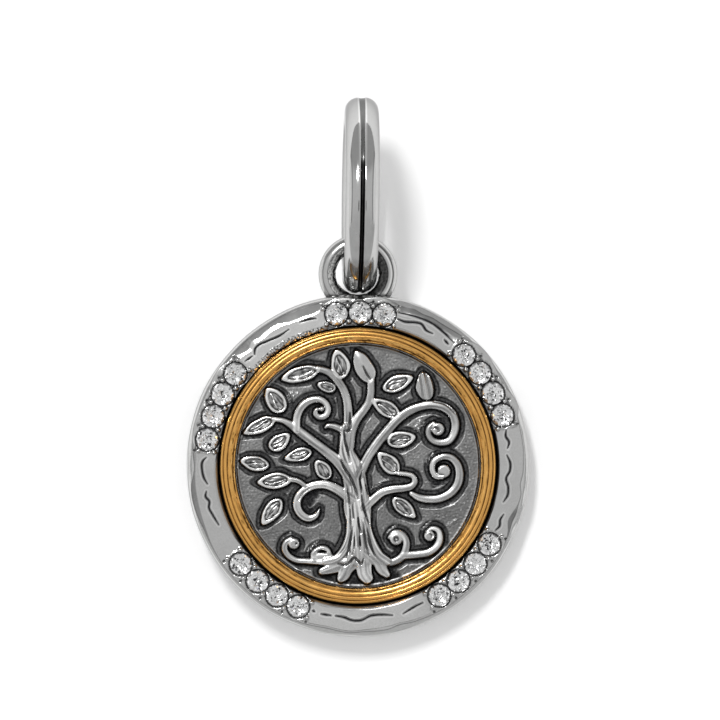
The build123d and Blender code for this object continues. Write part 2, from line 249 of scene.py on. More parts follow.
# Limbs. Each place: across, up, half width.
LIMBS = {
    "trunk": (
        (-9.5, 31, 4.6), (-9.8, 12.3, 6), (-4.4, -4.1, 9), (-1.6, -20.5, 9.2), (-0.6, -32.8, 10.8),
        (0.4, -45, 9.8), (1, -57.4, 9.8), (2, -71, 12.5),
    ),
    "left limb": (
        (-9, 26, 3.6), (-8, 42.6, 3.6), (-9, 53.3, 3.4), (-11.5, 61.5, 3.3), (-17.2, 70.5, 3.1),
        (-24.6, 77, 2.9), (-33.5, 79.5, 2.6),
    ),
    "right limb": (
        (-6.6, 15.6, 3.6), (-4.9, 28.7, 3.6), (-0.8, 38.5, 3.6), (4.9, 45.9, 3.4), (9, 52.5, 3.2),
        (10.7, 60.7, 3.1), (10.8, 69, 3.1),
    ),
    "thorn": (
        (-11, 27.5, 2.6), (-16.5, 31.2, 2.7), (-21.2, 32.6, 2.4), (-25.2, 32.6, 1.9),
        (-26.6, 31.2, 1.2),
    ),
    "lower left limb": (
        (-5.5, -12, 4.6), (-17, 4, 4.4), (-26.2, 11.5, 3.9), (-36.9, 19.7, 3.7), (-46.7, 27, 3.7),
        (-54, 32.8, 3.2), (-61.5, 36.9, 2.3), (-70, 38.3, 1.9),
    ),
    "left scroll": (
        (-50.5, 29.5, 3.2), (-49.6, 41.8, 3.2), (-45.4, 49.2, 3.2), (-38.5, 53.7, 3),
        (-31.5, 54.3, 2.7), (-26.4, 51, 2.6), (-24.6, 45.6, 2.6), (-26.4, 41.4, 2.6),
        (-31, 39.8, 2.5), (-35, 42.6, 2.1), (-34.2, 46, 1.6), (-30.6, 46.4, 1.3),
    ),
    "middle scroll": (
        (-6, -27, 4.4), (-17, -19.5, 3.8), (-27, -15.6, 3.4), (-35.3, -16, 3.3),
        (-43.5, -19.8, 3.3), (-49, -26, 3.3), (-50, -33.5, 3.3), (-46.5, -40, 3.2),
        (-40.5, -43.2, 2.9), (-34.5, -40.8, 2.2), (-31.6, -35.5, 0.8),
    ),
    "small leaf stem": (
        (-55.5, -11.2, 2.2), (-49.5, -12.5, 2.1), (-43.5, -16.5, 2),
    ),
    "left ground scroll": (
        (-8, -79, 3.4), (-27, -79, 2.8), (-42, -78.3, 2.5), (-51.5, -77.4, 2.5),
        (-57.6, -73.5, 2.6), (-60.4, -68, 2.5), (-58.8, -62.6, 2.3), (-55, -59.8, 1.8),
    ),
    "ground curl": (
        (-36, -77, 2.8), (-36.4, -72, 2.4), (-33.6, -69, 2.2), (-29, -67.6, 2.2),
        (-24.8, -69.4, 2.1), (-23.6, -73, 2.4),
    ),
    "long right limb": (
        (1.5, -7, 4), (8.5, 7.5, 3.8), (15.5, 18, 3.8), (23.5, 28, 3.8), (31.5, 37, 3.7),
        (41, 44.3, 3.5), (51, 48.5, 3.3), (61.5, 49.8, 3.3), (71, 47.5, 3.4), (77.5, 42, 3.4),
        (80, 33.8, 3.4), (78.5, 26, 3.3), (74.4, 20.2, 3.1), (67.6, 18.9, 2.9), (61.2, 20.9, 2.6),
        (57.8, 25.8, 2.4), (58.4, 31.4, 2.3), (62, 34.6, 2),
    ),
    "right branch": (
        (5.5, -34.5, 3.6), (12, -28.2, 3.5), (20, -21.8, 3.3), (29.5, -19.2, 3.1),
        (38.5, -18.3, 2.9), (44.3, -16.4, 2.7), (46.7, -12.6, 2.5), (45.2, -8.9, 2.2), (40, -7, 2),
        (33, -6.2, 2),
    ),
    "right scroll": (
        (43.8, -22.8, 2), (49.5, -26, 2.8), (58, -27.5, 3.1), (68, -26.6, 3.2), (76.2, -22.2, 3.4),
        (82, -14.6, 3.5), (83.4, -6.4, 3.4), (81.4, 1.4, 3.1), (76, 6.6, 2.8), (68.6, 7.2, 2.6),
        (62.4, 3.4, 2.6), (61, -3.4, 2.4), (63.8, -8.6, 2.4), (69, -9.6, 2),
    ),
    "right ground scroll": (
        (10, -75, 4.2), (20, -79, 3.2), (29, -79, 3.1), (35.8, -75, 3.2), (39.2, -68.4, 3),
        (39.4, -61.4, 2.8), (35.8, -56, 2.5), (29.8, -54.8, 2.2), (26, -59, 1.9),
    ),
    "far ground scroll": (
        (38, -73.6, 3.2), (49, -72.8, 3.2), (58.5, -71, 3.2), (65, -65.8, 3.1), (67.4, -58.8, 2.9),
        (65.6, -53, 2.4), (60.6, -51.4, 1.9), (56.4, -54.4, 1.5),
    ),
    "outer left root": (
        (-8, -80.5, 4.4), (-16, -82.5, 4.7), (-23, -84.8, 4.2), (-29.5, -86.8, 3),
    ),
    "inner left root": (
        (-5, -78, 6.5), (-9.4, -85, 5.2), (-12.4, -91, 4.4), (-14, -93, 3.2),
    ),
    "middle root": (
        (4, -74, 8), (4.8, -84, 6.2), (6, -90, 5.6), (7.4, -92, 5),
    ),
    "right root": (
        (10, -73, 6), (16.5, -79, 4.6), (20, -85.5, 4.4), (23.8, -89.6, 2.8),
    ),
    "left flare": (
        (-6, -46, 3.4), (-7, -58, 3.4), (-10.8, -68.5, 3.6), (-17, -75.5, 3.2), (-27, -78.4, 2.8),
    ),
    "right flare": (
        (6, -46, 3.4), (9.4, -58, 3.6), (13, -67, 4.2), (18, -74.5, 4), (24, -78.5, 3.4),
    ),
    "ground curl foot": (
        (-35.8, -74.4, 3.2), (-28, -74.2, 3.2), (-22.5, -75.2, 2.8),
    ),
}

DARKER_LIMBS = ("left limb", "right limb", "thorn", "lower left limb", "long right limb")

# Leaves, first those of the crown, then the left ones and the right ones. Each row: tip
# across and up, base across and up, half width, and how its middle is worked.
LEAVES = (
    (-17.5, 95.5, -12, 71.5, 7.4, "sunk"), (-2.6, 95, 11.8, 68, 7.2, "plain"),
    (-64, 70.5, -31, 79.5, 6.2, "sunk"), (-34, 67.2, -17.6, 62.6, 4.2, "sunk"),
    (-75.2, 64, -61, 43.8, 7.6, "sunk"), (-95, 26, -67.5, 38.8, 5.6, "sunk"),
    (-56, 26.2, -72.5, 13.5, 6, "sunk"), (-60.5, 5.6, -37.5, 11.8, 5.2, "sunk"),
    (-97.5, 4.2, -72.6, 0.2, 5.8, "sunk"), (-34.6, 4.6, -23.2, -10.8, 5.8, "sunk"),
    (-83.5, -14, -54.6, -11.2, 6.4, "sunk"), (-79, -48.5, -63, -27, 6.3, "sunk"),
    (45.2, 73, 20.4, 62.6, 6.2, "sunk"), (52.8, 77.4, 56.8, 53.6, 7, "pleated"),
    (11.2, 54.5, 34.2, 40.2, 6.2, "sunk"), (47.6, 23.6, 23.8, 19.4, 6.6, "sunk"),
    (16.6, 10.8, 33.4, -6.2, 6.6, "sunk"), (47.4, -42.8, 28.6, -26.8, 5.8, "sunk"),
)

# Round eyes at the ends of the scrolls. Each row: across, up, radius.
EYES = (
    (-29.8, 46.6, 2.2), (65.6, 30, 5.5), (70.4, -4.6, 5.7), (-52.6, -64, 4.8), (31.3, -60.2, 5.4),
    (58.6, -57.7, 4.6),
)

# Grooves in the bark, over the roots and in the scrolls. Each place: across, up, half
# width.
GROOVES = (
    ((-6.6, 43.5, 0.4), (-6.6, 36.9, 0.9), (-8.2, 28.7, 0.8), (-11.5, 28.7, 0.3)),
    ((-11.5, 28.7, 0.4), (-10.7, 20.5, 0.8), (-8.2, 10.7, 0.8), (-6.6, 2.5, 0.4)),
    ((-13.9, 4.9, 0.4), (-12.3, 0, 0.8), (-7.4, -7.4, 0.8), (-4.1, -13.9, 0.8), (-1.6, -20.5, 0.8),
     (0, -27.1, 0.4)),
    ((2.9, -24.6, 0.4), (4.1, -32.8, 0.8), (6.6, -41, 0.8), (9, -47.6, 0.4)),
    ((6.6, -15.6, 0.4), (8.2, -23, 0.5)),
    ((0, -42.6, 0.4), (0.8, -49, 0.8), (2.5, -54.9, 0.4)),
    ((-16.4, -80.4, 0.4), (-10.7, -81.2, 0.8), (-6.6, -78.7, 0.8), (-3.3, -75.4, 0.8),
     (0, -77.9, 0.8), (2.5, -80.4, 0.7), (4.5, -76.3, 0.4)),
    ((-4.5, -50, 0.3), (-5.6, -57, 0.8), (-7, -65, 0.9), (-9.9, -75, 0.4)),
    ((7.4, -52, 0.3), (9.2, -60, 0.8), (11.4, -68, 0.8), (14, -74, 0.3)),
    ((1.2, -58.5, 0.3), (1.6, -63, 0.6), (1.8, -68.2, 0.3)),
    ((1.6, -14, 0.2), (2.6, -18, 0.6), (2.8, -22, 0.3)),
    ((-9, -20, 0.2), (-7.4, -27, 0.5), (-7, -33, 0.2)),
    ((64.2, -0.6, 0.3), (65, -4.2, 0.7), (67, -7, 0.6), (70, -7.6, 0.3)),
    ((60.8, 30.6, 0.3), (64.2, 31.4, 0.6), (66.4, 29, 0.5), (65, 27.6, 0.2)),
    ((-39.6, -18.4, 0.2), (-45.5, -22.5, 0.5), (-48.9, -28.5, 0.2)),
    ((62, 52.6, 0.2), (72, 50, 0.4), (79.6, 43, 0.2)),
    ((58.8, -55.6, 0.2), (61, -57.4, 0.5), (59.8, -60.2, 0.2)),
    ((-33, -70.6, 0.5), (-29.2, -70.2, 1.1), (-26.2, -70.8, 0.5)),
    ((-2.5, -58, 0.2), (-3.4, -66, 0.6), (-4.6, -73, 0.3)),
    ((4.6, -47, 0.2), (5.4, -57, 0.6), (7.2, -67, 0.7), (9, -73, 0.3)),
    ((-6.6, -36, 0.2), (-6.2, -45, 0.6), (-5.8, -52, 0.3)),
    ((3.4, -4, 0.2), (1.6, -11, 0.5), (2, -16, 0.2)),
    ((4.2, 81.5, 0.4), (8, 74, 0.7), (10.4, 71, 0.4)),
)

# Small dimples in the eyes. Each row: across, up, radius.
DIMPLES = ((31.3, -60.2, 2.2), (-50.6, -63.8, 0.8))

# Deep hollows inside the curls and between the roots. Each row: across, up, radius.
HOLLOWS = (
    (-42, -29, 9.5), (68, 36, 5.5), (64, -15, 6), (-37, -24, 6.5), (-53, -71, 5), (33, -69, 5),
    (60, -65, 4.5), (-26, -95, 8), (-2.5, -97, 6), (15, -95, 6), (29, -91, 8), (26, -84, 5),
    (-40.5, -35.5, 5.5),
)

# Short burrs that the casting left beside the scrolls. Each row: across and up of its
# two ends.
BURRS = (
    (-59.9, 54.1, -54.1, 59.9), (-57.4, 52.5, -50, 59), (46.7, 30.3, 51.7, 36.9),
    (49.2, 28.7, 54.9, 35.3), (54.9, 2.5, 61.5, 9.8), (58.2, 1.6, 64.8, 8.2),
    (11.5, -18.9, 24.6, -11.5), (24.6, -54.9, 31.2, -49.2), (52.5, -51.7, 59, -46.7),
    (-61.5, -61.5, -55.8, -55.8), (-41, -69.7, -32.8, -62.3), (73.8, -49.2, 80.4, -45.1),
)


# Curves and fields


def smooth_path(rows, step):
    """Points at even steps along a smooth curve through rows of any columns."""
    rows = np.asarray(rows, float)
    chord = np.hypot(*np.diff(rows[:, :2], axis=0).T)
    along = np.concatenate([[0.0], np.cumsum(chord)])
    slope = np.gradient(rows, along, axis=0)
    places = np.linspace(0, along[-1], max(int(along[-1] / step), 2) + 1)
    index = np.clip(np.searchsorted(along, places, side="right") - 1, 0, len(chord) - 1)
    share = ((places - along[index]) / chord[index])[:, None]
    run = chord[index][:, None]
    start_weight = 2 * share**3 - 3 * share**2 + 1
    end_weight = 3 * share**2 - 2 * share**3
    leave = (share**3 - 2 * share**2 + share) * run
    arrive = (share**3 - share**2) * run
    return (
        start_weight * rows[index] + end_weight * rows[index + 1]
        + leave * slope[index] + arrive * slope[index + 1]
    )


def clip(value, low, high):
    """A number held between two others."""
    return min(max(value, low), high)


def between(first, last, share):
    """The value at a share of the way from first to last."""
    return first + (last - first) * share


def smooth_step(low, high, value):
    """0 at low and before it, 1 at high and beyond it, and smooth between them. Either
    of the two can be the larger."""
    share = np.clip((value - low) / (high - low), 0, 1)
    return share * share * (3 - 2 * share)


def smooth_max(first, second, blend):
    """The larger of two fields, with a fillet where they are closer than blend."""
    share = np.clip(0.5 + 0.5 * (second - first) / blend, 0, 1)
    return first + (second - first) * share + blend * share * (1 - share)


def bell(distance, width):
    """1 where distance is 0, and next to nothing two widths away from there."""
    return np.exp(-((distance / width) ** 2))


def from_center(points, u, v):
    """How far each point is from one place."""
    return np.hypot(*(points - (u, v)).T)


def band_field(points, path, reach):
    """For each point: how far it is outside a band, the band's half width, how far
    it is to the band's left, and how far along the band it is. Points further than
    reach from the band keep a distance of reach."""
    field = np.tile((reach, 1.0, 0.0, 0.0), (len(points), 1))
    margin = reach + path[:, 2].max()
    low = path[:, :2].min(0) - margin
    high = path[:, :2].max(0) + margin
    near = np.nonzero(np.all((points > low) & (points < high), axis=1))[0]
    local = points[near]
    found = field[near]
    walked = 0.0
    for start, end in zip(path, path[1:]):
        step = end[:2] - start[:2]
        length = hypot(*step)
        offset = local - start[:2]
        share = np.clip(offset @ step / length**2, 0, 1)
        half_width = between(start[2], end[2], share)
        outside = np.hypot(*(offset - share[:, None] * step).T) - half_width
        left = (step[0] * offset[:, 1] - step[1] * offset[:, 0]) / length
        nearer = outside < found[:, 0]
        found[nearer] = np.stack([outside, half_width, left, walked + share * length], axis=1)[nearer]
        walked += length
    field[near] = found
    return field.T


def relief(outside, height, edge_radius, flank, blend):
    """Height of a form whose outline lies at outside = 0: a flat top, a rounded edge
    and a steep flank that starts a little outside the outline."""
    inside = np.clip(-outside, 0, edge_radius)
    top = height - edge_radius + np.sqrt(np.maximum(edge_radius**2 - (edge_radius - inside) ** 2, 0))
    climb = np.clip(1 + outside / -flank, 0, 1)
    rising = -blend + (height - edge_radius + blend) * climb**1.5
    return np.where(outside < 0, top, np.where(outside < flank, rising, -1.0))


def periodic(directions, table, column):
    """A column of hundredths in a table of directions, read smoothly at others."""
    table = np.asarray(table, float)
    known = np.concatenate([table[:, 0] - 360, table[:, 0], table[:, 0] + 360])
    values = np.tile(table[:, column] / 100, 3)
    path = smooth_path(np.stack([known, np.zeros_like(known), values], axis=1), 0.1)
    return np.interp(directions, path[:, 0], path[:, 2])


def grain(*place):
    """Smooth noise between about -1 and 1 at a place of three numbers."""
    return noise.noise(Vector(place))


def unevenness(points, scale, seed):
    """The same noise at points of two columns. Each seed gives a field of its own."""
    return np.array([grain(u / scale, v / scale, seed) for u, v in points.tolist()])


# Meshes


def on_face(points, height, level=face_y):
    """Points of the part from places on the face and their heights over a level."""
    return np.stack([points[:, 0], level - height, disc_z + points[:, 1]], axis=1)


def scene_object(data, *materials):
    """An object of the scene, named as its data, with its materials."""
    made = bpy.data.objects.new(data.name, data)
    for material in materials:
        data.materials.append(material)
    bpy.context.scene.collection.objects.link(made)
    return made


def tie(piece, body, node):
    """Let a piece ride on its body, in the place of its node."""
    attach(piece, body)
    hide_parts(node)


def mesh_of(name, points, faces):
    """A smooth mesh from points in millimetres."""
    mesh = bpy.data.meshes.new(name)
    mesh.from_pydata((np.asarray(points) * MM).tolist(), [], faces)
    mesh.update()
    mesh.shade_smooth()
    return mesh


def add_piece(name, points, faces, wear_and_painted_light, material, body, slot, node):
    """A piece of metal with its tarnish, polish and painted light, tied to its body."""
    mesh = mesh_of(name, points, faces)
    attribute = mesh.attributes.new("wear_and_painted_light", "FLOAT", "POINT")
    attribute.data.foreach_set("value", np.asarray(wear_and_painted_light, np.float32))
    tie(scene_object(mesh, material), body, node)


def ring_faces(rows, columns, close_rows=False):
    """Faces of a grid whose columns close on themselves, and its rows if asked."""
    faces = []
    for row in range(rows if close_rows else rows - 1):
        here = row * columns
        there = (row + 1) % rows * columns
        for column in range(columns):
            beside = (column + 1) % columns
            faces.append((here + column, here + beside, there + beside, there + column))
    return faces


def revolve(section, turns, place, wear_and_painted_light):
    """Points, faces and wear of a closed section carried round a full turn. place and
    wear take an angle and a row of the section."""
    stations = [(angle, *row) for angle in np.linspace(0, 2 * pi, turns, endpoint=False) for row in section]
    points = np.array([place(*station) for station in stations])
    faces = ring_faces(turns, len(section), close_rows=True)
    return points, faces, np.array([wear_and_painted_light(*station) for station in stations])


def arc(center_across, center_depth, radius, start, end, count):
    """Points of an arc in a section."""
    angles = np.radians(np.linspace(start, end, count))
    return [(center_across + radius * cos(a), center_depth + radius * sin(a)) for a in angles]


# Materials


def node_tree(owner):
    """The emptied node tree of a material or a world."""
    owner.use_nodes = True
    owner.node_tree.nodes.clear()
    return owner.node_tree


def add(tree, kind, *values, operation=None, **named):
    """A node of a tree. Its inputs take values or other nodes' outputs, by their place
    or by their name with underscores for spaces. None leaves an input as it is."""
    made = tree.nodes.new("ShaderNode" + kind)
    if operation:
        made.operation = operation
    by_name = [(name.replace("_", " "), value) for name, value in named.items()]
    for key, value in [*enumerate(values), *by_name]:
        if isinstance(value, bpy.types.NodeSocket):
            tree.links.new(value, made.inputs[key])
        elif value is not None:
            made.inputs[key].default_value = value
    return made


def map_range(tree, value, low, high, to_low=0.0, to_high=1.0, smooth=False):
    """An output that carries a value from one range to another and holds it there."""
    made = add(tree, "MapRange", value, low, high, to_low, to_high)
    made.interpolation_type = "SMOOTHSTEP" if smooth else "LINEAR"
    return made.outputs["Result"]


def calculate(tree, operation, *values):
    """The output of a sum on numbers."""
    return add(tree, "Math", *values, operation=operation).outputs["Value"]


def calculate_vector(tree, operation, *values, **named):
    """The output of a sum on vectors."""
    return add(tree, "VectorMath", *values, operation=operation, **named).outputs["Vector"]


def object_place(tree):
    """The output of places that sit still on the object."""
    return add(tree, "TexCoord").outputs["Object"]


def noise_socket(tree, size_mm, detail):
    """The output of a noise on the object."""
    scale = 1 / (size_mm * MM)
    return add(tree, "TexNoise", Vector=object_place(tree), Scale=scale, Detail=detail).outputs["Fac"]


def bump(tree, height, depth_mm):
    """The output of a normal that follows a height."""
    return add(tree, "Bump", Strength=1.0, Distance=depth_mm * MM, Height=height).outputs["Normal"]


def ramp(tree, share, *stops):
    """The output of a ramp of colours. Its first two stops are its ends."""
    made = add(tree, "ValToRGB", share)
    elements = made.color_ramp.elements
    for number, (position, colour) in enumerate(stops):
        stop = elements[number] if number < 2 else elements.new(position)
        stop.position = position
        stop.color = (*colour, 1)
    return made.outputs["Color"]


def metal(name, dark, bright, burnish_and_highlight, polish, dull, grain_mm, grain_height_mm, speckle):
    """A metal whose attribute runs from tarnished and painted shade, 0, to polished, 1, and on
    to bright edges and painted highlights, 1.5. polish and dull are its roughness at 1 and at 0."""
    material = bpy.data.materials.new(name)
    tree = node_tree(material)
    wear_and_painted_light = add(tree, "Attribute")
    wear_and_painted_light.attribute_name = "wear_and_painted_light"
    fine = noise_socket(tree, grain_mm, 3)
    patches = noise_socket(tree, 6 * grain_mm, 2)
    spread = map_range(tree, fine, 0.25, 0.75, -speckle, speckle)
    worn = calculate(tree, "ADD", wear_and_painted_light.outputs["Fac"], spread)
    share = map_range(tree, worn, 0, 1.5)
    gloss = map_range(tree, worn, 0, 1, dull, polish)
    uneven = map_range(tree, patches, 0.3, 0.7, 0.8, 1.25)
    surface = add(
        tree, "BsdfPrincipled", Metallic=1.0, Specular_Tint=(0.55, 0.55, 0.55, 1),
        Base_Color=ramp(tree, share, (0, dark), (1, burnish_and_highlight), (2 / 3, bright)),
        Roughness=calculate(tree, "MULTIPLY", gloss, uneven),
        Normal=bump(tree, fine, grain_height_mm),
    )
    add(tree, "OutputMaterial", Surface=surface.outputs["BSDF"])
    return material


def make_crystal_glass():
    """Clear glass for a stone's crown."""
    material = bpy.data.materials.new("crystal")
    tree = node_tree(material)
    surface = add(
        tree, "BsdfPrincipled", Base_Color=(0.985, 0.99, 0.99, 1), Roughness=0.02, IOR=1.55,
        Transmission_Weight=1.0, Normal=bump(tree, noise_socket(tree, 0.25, 2), 0.0006),
    )
    add(tree, "OutputMaterial", Surface=surface.outputs["BSDF"])
    return material


def make_crystal_foil():
    """The silvered foil under a stone, in small facets. Each has its own tilt, and a
    few of them are painted dark, as dark reflections."""
    facet_size_mm = 0.16
    most_tilt = 0.6
    material = bpy.data.materials.new("crystal_foil")
    tree = node_tree(material)
    facets = add(tree, "TexVoronoi", Vector=object_place(tree), Scale=1 / (facet_size_mm * MM))
    chance = facets.outputs["Color"]
    red = add(tree, "SeparateColor", chance).outputs["Red"]
    # A few facets painted dark, as dark reflections
    tone = ramp(tree, red, (0.08, (0.015, 0.015, 0.02)), (0.14, (0.99, 0.99, 0.99)))
    centred = calculate_vector(tree, "SUBTRACT", chance, (0.5, 0.5, 0.5))
    tilt = calculate_vector(tree, "SCALE", centred, Scale=most_tilt)
    tilted = calculate_vector(tree, "ADD", add(tree, "NewGeometry").outputs["Normal"], tilt)
    surface = add(
        tree, "BsdfPrincipled", Metallic=1.0, Roughness=0.12, Base_Color=tone,
        Normal=calculate_vector(tree, "NORMALIZE", tilted),
    )
    add(tree, "OutputMaterial", Surface=surface.outputs["BSDF"])
    return material


polished_silver = metal(
    "polished_silver", (0.02, 0.02, 0.02), (0.56, 0.56, 0.555), (0.90, 0.90, 0.89),
    0.09, 0.40, 0.30, 0.0006, 0.02,
)
hammered_silver = metal(
    "hammered_silver", (0.015, 0.015, 0.016), (0.56, 0.56, 0.555), (0.92, 0.92, 0.91),
    0.16, 0.45, 0.14, 0.0007, 0.04,
)
oxidised_silver = metal(
    "oxidised_silver", (0.015, 0.015, 0.016), (0.56, 0.56, 0.555), (0.95, 0.95, 0.94),
    0.23, 0.50, 0.15, 0.0010, 0.07,
)
gold = metal(
    "gold", (0.07, 0.025, 0.004), (0.80, 0.43, 0.12), (0.95, 0.62, 0.25),
    0.23, 0.42, 0.16, 0.0007, 0.06,
)
crystal_glass = make_crystal_glass()
crystal_foil = make_crystal_foil()


# Bail


def bail_section():
    """The bail's section: flat inside, two ridges outside and a groove between them."""
    half = bail_width / 2
    inner = bail_inner_rounding
    ridge = bail_ridge_radius
    lip = bail_groove_width / 2
    lip_round = bail_lip_rounding
    section = arc(half - inner, inner, inner, -90, 0, 12)
    section += arc(half - ridge, bail_depth - ridge, ridge, 0, 84, 16)
    section += arc(lip + lip_round, bail_depth - lip_round, lip_round, 90, 155, 5)
    section += [
        (lip * across, bail_depth - depth * bail_groove_depth)
        for across, depth in ((0.84, 0.5), (0.70, 0.85), (0.40, 1.0))
    ]
    mirrored = [(-across, depth) for across, depth in reversed(section)]
    flat = [((half - inner) * share, 0.0) for share in (-0.5, 0.0, 0.5)]
    return section + [(0, bail_depth - bail_groove_depth)] + mirrored + flat


def bail_point(angle, across, depth):
    """A point of the bail, turned and leaning a little as it hangs."""
    up = sin(angle)
    if abs(across) < bail_groove_width and depth > bail_depth - bail_groove_depth - 0.01:
        # The groove is ragged, wide and shallow at the top, and runs out at the foot
        opened = 0.50 + 0.40 * smooth_step(0.30, 0.70, up) + 0.36 * smooth_step(0.70, 1.0, up)
        opened += 0.07 * grain(0.5, angle * 16, 3.0)
        across *= 1 + (opened - 1) * (1 - abs(across) / bail_groove_width)
        sunk = 1 - 0.78 * smooth_step(0.20, 0.40, up) - 0.08 * smooth_step(0.6, 0.95, up)
        sunk *= 1 - 0.8 * smooth_step(-0.90, -0.98, up)
        depth = bail_depth - (bail_depth - depth) * sunk
    # The foot is fuller, above all at its left corner, and scuffed at its front
    wider = 0.55 if across < 0 else 0.0
    foot = smooth_step(-0.90, -1.0, up) * smooth_step(0.65 + wider, 0.25 + wider, abs(across))
    out = (bail_inner_radius + depth) * 0.9996 + bail_foot_drop * foot * depth / bail_depth
    scuffed = smooth_step(-0.76, -0.86, up) * (cos(angle) < 0) * smooth_step(1.6, 2.2, depth)
    out += 0.035 * (grain(across * 6, angle * 4, 9.0) - 0.4) * scuffed
    y = out * cos(angle)
    z = out * up
    x = across * cos(bail_turn) - y * sin(bail_turn)
    y = across * sin(bail_turn) + y * cos(bail_turn)
    return (bail_shift + x + z * sin(bail_lean), y, bail_z + z * cos(bail_lean))


def bail_wear_and_painted_light(angle, across, depth):
    """Polished, with painted shade in the groove, lighter near the top as a painted
    reflection, painted highlights on the lips near the top, painted shade just above the
    foot, and a foot streaked with painted reflections.
    """
    up = sin(angle)
    front = cos(angle) < 0
    # Painted shade in the groove, lighter near the top as a painted reflection
    painted_groove_shade = 0.02 + 0.36 * smooth_step(0.30, 0.40, up)
    in_groove = smooth_step(0.05, 0.17, bail_depth - depth) * (abs(across) < bail_groove_width / 2)
    # Painted highlight on the lips beside the groove, towards the top
    lip_highlight = smooth_step(0.36, 0.27, abs(across)) * (depth > bail_depth - 0.06)
    # Painted shade on the front just above the foot
    shade_above_foot = smooth_step(-0.64, -0.71, up) * front * smooth_step(0.85, 0.65, abs(across))
    foot = smooth_step(-0.79, -0.86, up) * front
    # Streaks on the front of the foot, painted dark and bright as reflections of the rim
    reflection_streak = grain(across * 5, angle * 7, 2.0)
    tone = between(1.0 - 0.25 * shade_above_foot, clip(0.70 + 1.5 * reflection_streak, 0.10, 1.4), foot)
    tone += 0.45 * lip_highlight * smooth_step(0.05, 0.35, up)
    return between(tone, painted_groove_shade, in_groove)


def make_bail():
    """The bail as one ring."""
    bail = revolve(bail_section(), bail_turns, bail_point, bail_wear_and_painted_light)
    add_piece("bail_ring", *bail, polished_silver, "bail", "polished_silver", "bail")


# Loop


def loop_point(angle, across, depth):
    """A point of the loop. Its inner side is beaten, and fuller at the right and below."""
    beaten = grain(cos(angle) * 9, sin(angle) * 9, depth * 6)
    inward = max(-across / loop_wire_radius, 0.0)
    fuller = max(smooth_step(-0.1, 0.4, cos(angle)), smooth_step(-0.3, -0.8, sin(angle)))
    out = loop_radius + across + (loop_beat_depth * max(beaten, -0.2) - loop_fullness * fuller) * inward
    return (out * cos(angle), depth * (1 - 0.05 * abs(beaten) * inward), hinge_z + out * sin(angle))


def loop_wear_and_painted_light(angle, across, depth):
    """Polished outside. The worked inner side is painted bright at the left, as lit, and
    dark at the right, as shaded, and set off by dark lines, painted darker at the right
    beside a painted bright line."""
    if depth >= 0.1:
        return 1.0
    # Painted light: the inner side is lit at the left and shaded at the right
    right = smooth_step(-0.25, 0.35, cos(angle))
    spot = grain(cos(angle) * 16, sin(angle) * 16, across * 11)
    deepest = smooth_step(-0.38, -0.46, across)
    inner_side = (1 - right) * (1.25 + 1.6 * spot - 0.7 * deepest) + right * (0.30 + 0.3 * spot)
    tone = between(1.0, inner_side, smooth_step(-0.03, -0.10, across))
    # A painted bright line at the right, and dark lines painted darker at the right
    tone += 0.5 * right * smooth_step(0.07, 0.03, abs(across - 0.20))
    tone -= (0.50 + 0.45 * right) * smooth_step(0.065, 0.02, abs(across - 0.31))
    tone -= (0.85 + 0.1 * right) * smooth_step(0.065, 0.02, abs(across + 0.05))
    return clip(tone, 0.05, 1.5)


def make_loop():
    """The soldered loop, with painted shade where it meets the rim."""
    around = np.linspace(0, 2 * pi, loop_section_points, endpoint=False)
    section = [(cos(a) * loop_wire_radius, sin(a) * loop_wire_radius * 0.97) for a in around]
    points, faces, wear_and_painted_light = revolve(section, loop_turns, loop_point, loop_wear_and_painted_light)
    # Painted shade where the loop meets the rim
    from_rim = np.hypot(points[:, 0], points[:, 2] - disc_z) - disc_radius
    wear_and_painted_light *= 0.15 + 0.85 * smooth_step(-0.05, 0.22, from_rim)
    loop = (points, faces, wear_and_painted_light)
    add_piece("hanging_loop", *loop, hammered_silver, "medallion", "hammered_silver", "frame")


# Medallion


def group_directions(middle, places):
    """Directions of evenly pitched places, centred on the middle of a group."""
    first = middle - (places - 1) * stone_pitch / 2
    return [first + stone_pitch * place for place in range(places)]


def on_circle(radius, direction):
    """u and v of a point at a radius and a direction."""
    return np.array((radius * cos(radians(direction)), radius * sin(radians(direction))))


def cut_channel(points, middle, count, height, wear_and_painted_light):
    """Sink the channel that a group of stones shares."""
    turned = np.degrees(np.arctan2(points[:, 1], points[:, 0])) - middle
    turned = np.abs((turned + 180) % 360 - 180)
    reach = (count - 1) * stone_pitch / 2 + channel_end_degrees
    in_channel = (turned < reach) & (np.hypot(*points.T) < channel_outer_radius)
    height = np.where(in_channel, np.minimum(height, -channel_depth), height)
    return height, np.where(in_channel, 0.22, wear_and_painted_light)


def raise_beads(points, direction, away, height, wear_and_painted_light):
    """Raise the two beads beside a stone, and cut the notch outside them."""
    middle_radius = stone_circle_radius * cos(radians(stone_pitch / 2))
    for offset in (-bead_offset, bead_offset):
        distance = from_center(points, *on_circle(middle_radius + offset, direction))
        dome = np.sqrt(np.maximum(bead_radius**2 - distance**2, 0))
        on_bead = (distance < bead_radius) & (away > seat_radius + 0.02)
        height = np.where(on_bead, np.maximum(height, dome - bead_sink), height)
        wear_and_painted_light = np.where(on_bead, 0.45 + 0.5 * dome / bead_radius, wear_and_painted_light)
    notch_center = on_circle(middle_radius + bead_offset + bead_notch_offset, direction)
    notch = smooth_step(0.14, 0.05, from_center(points, *notch_center))
    return height - bead_notch_depth * notch, wear_and_painted_light * (1 - 0.85 * notch)


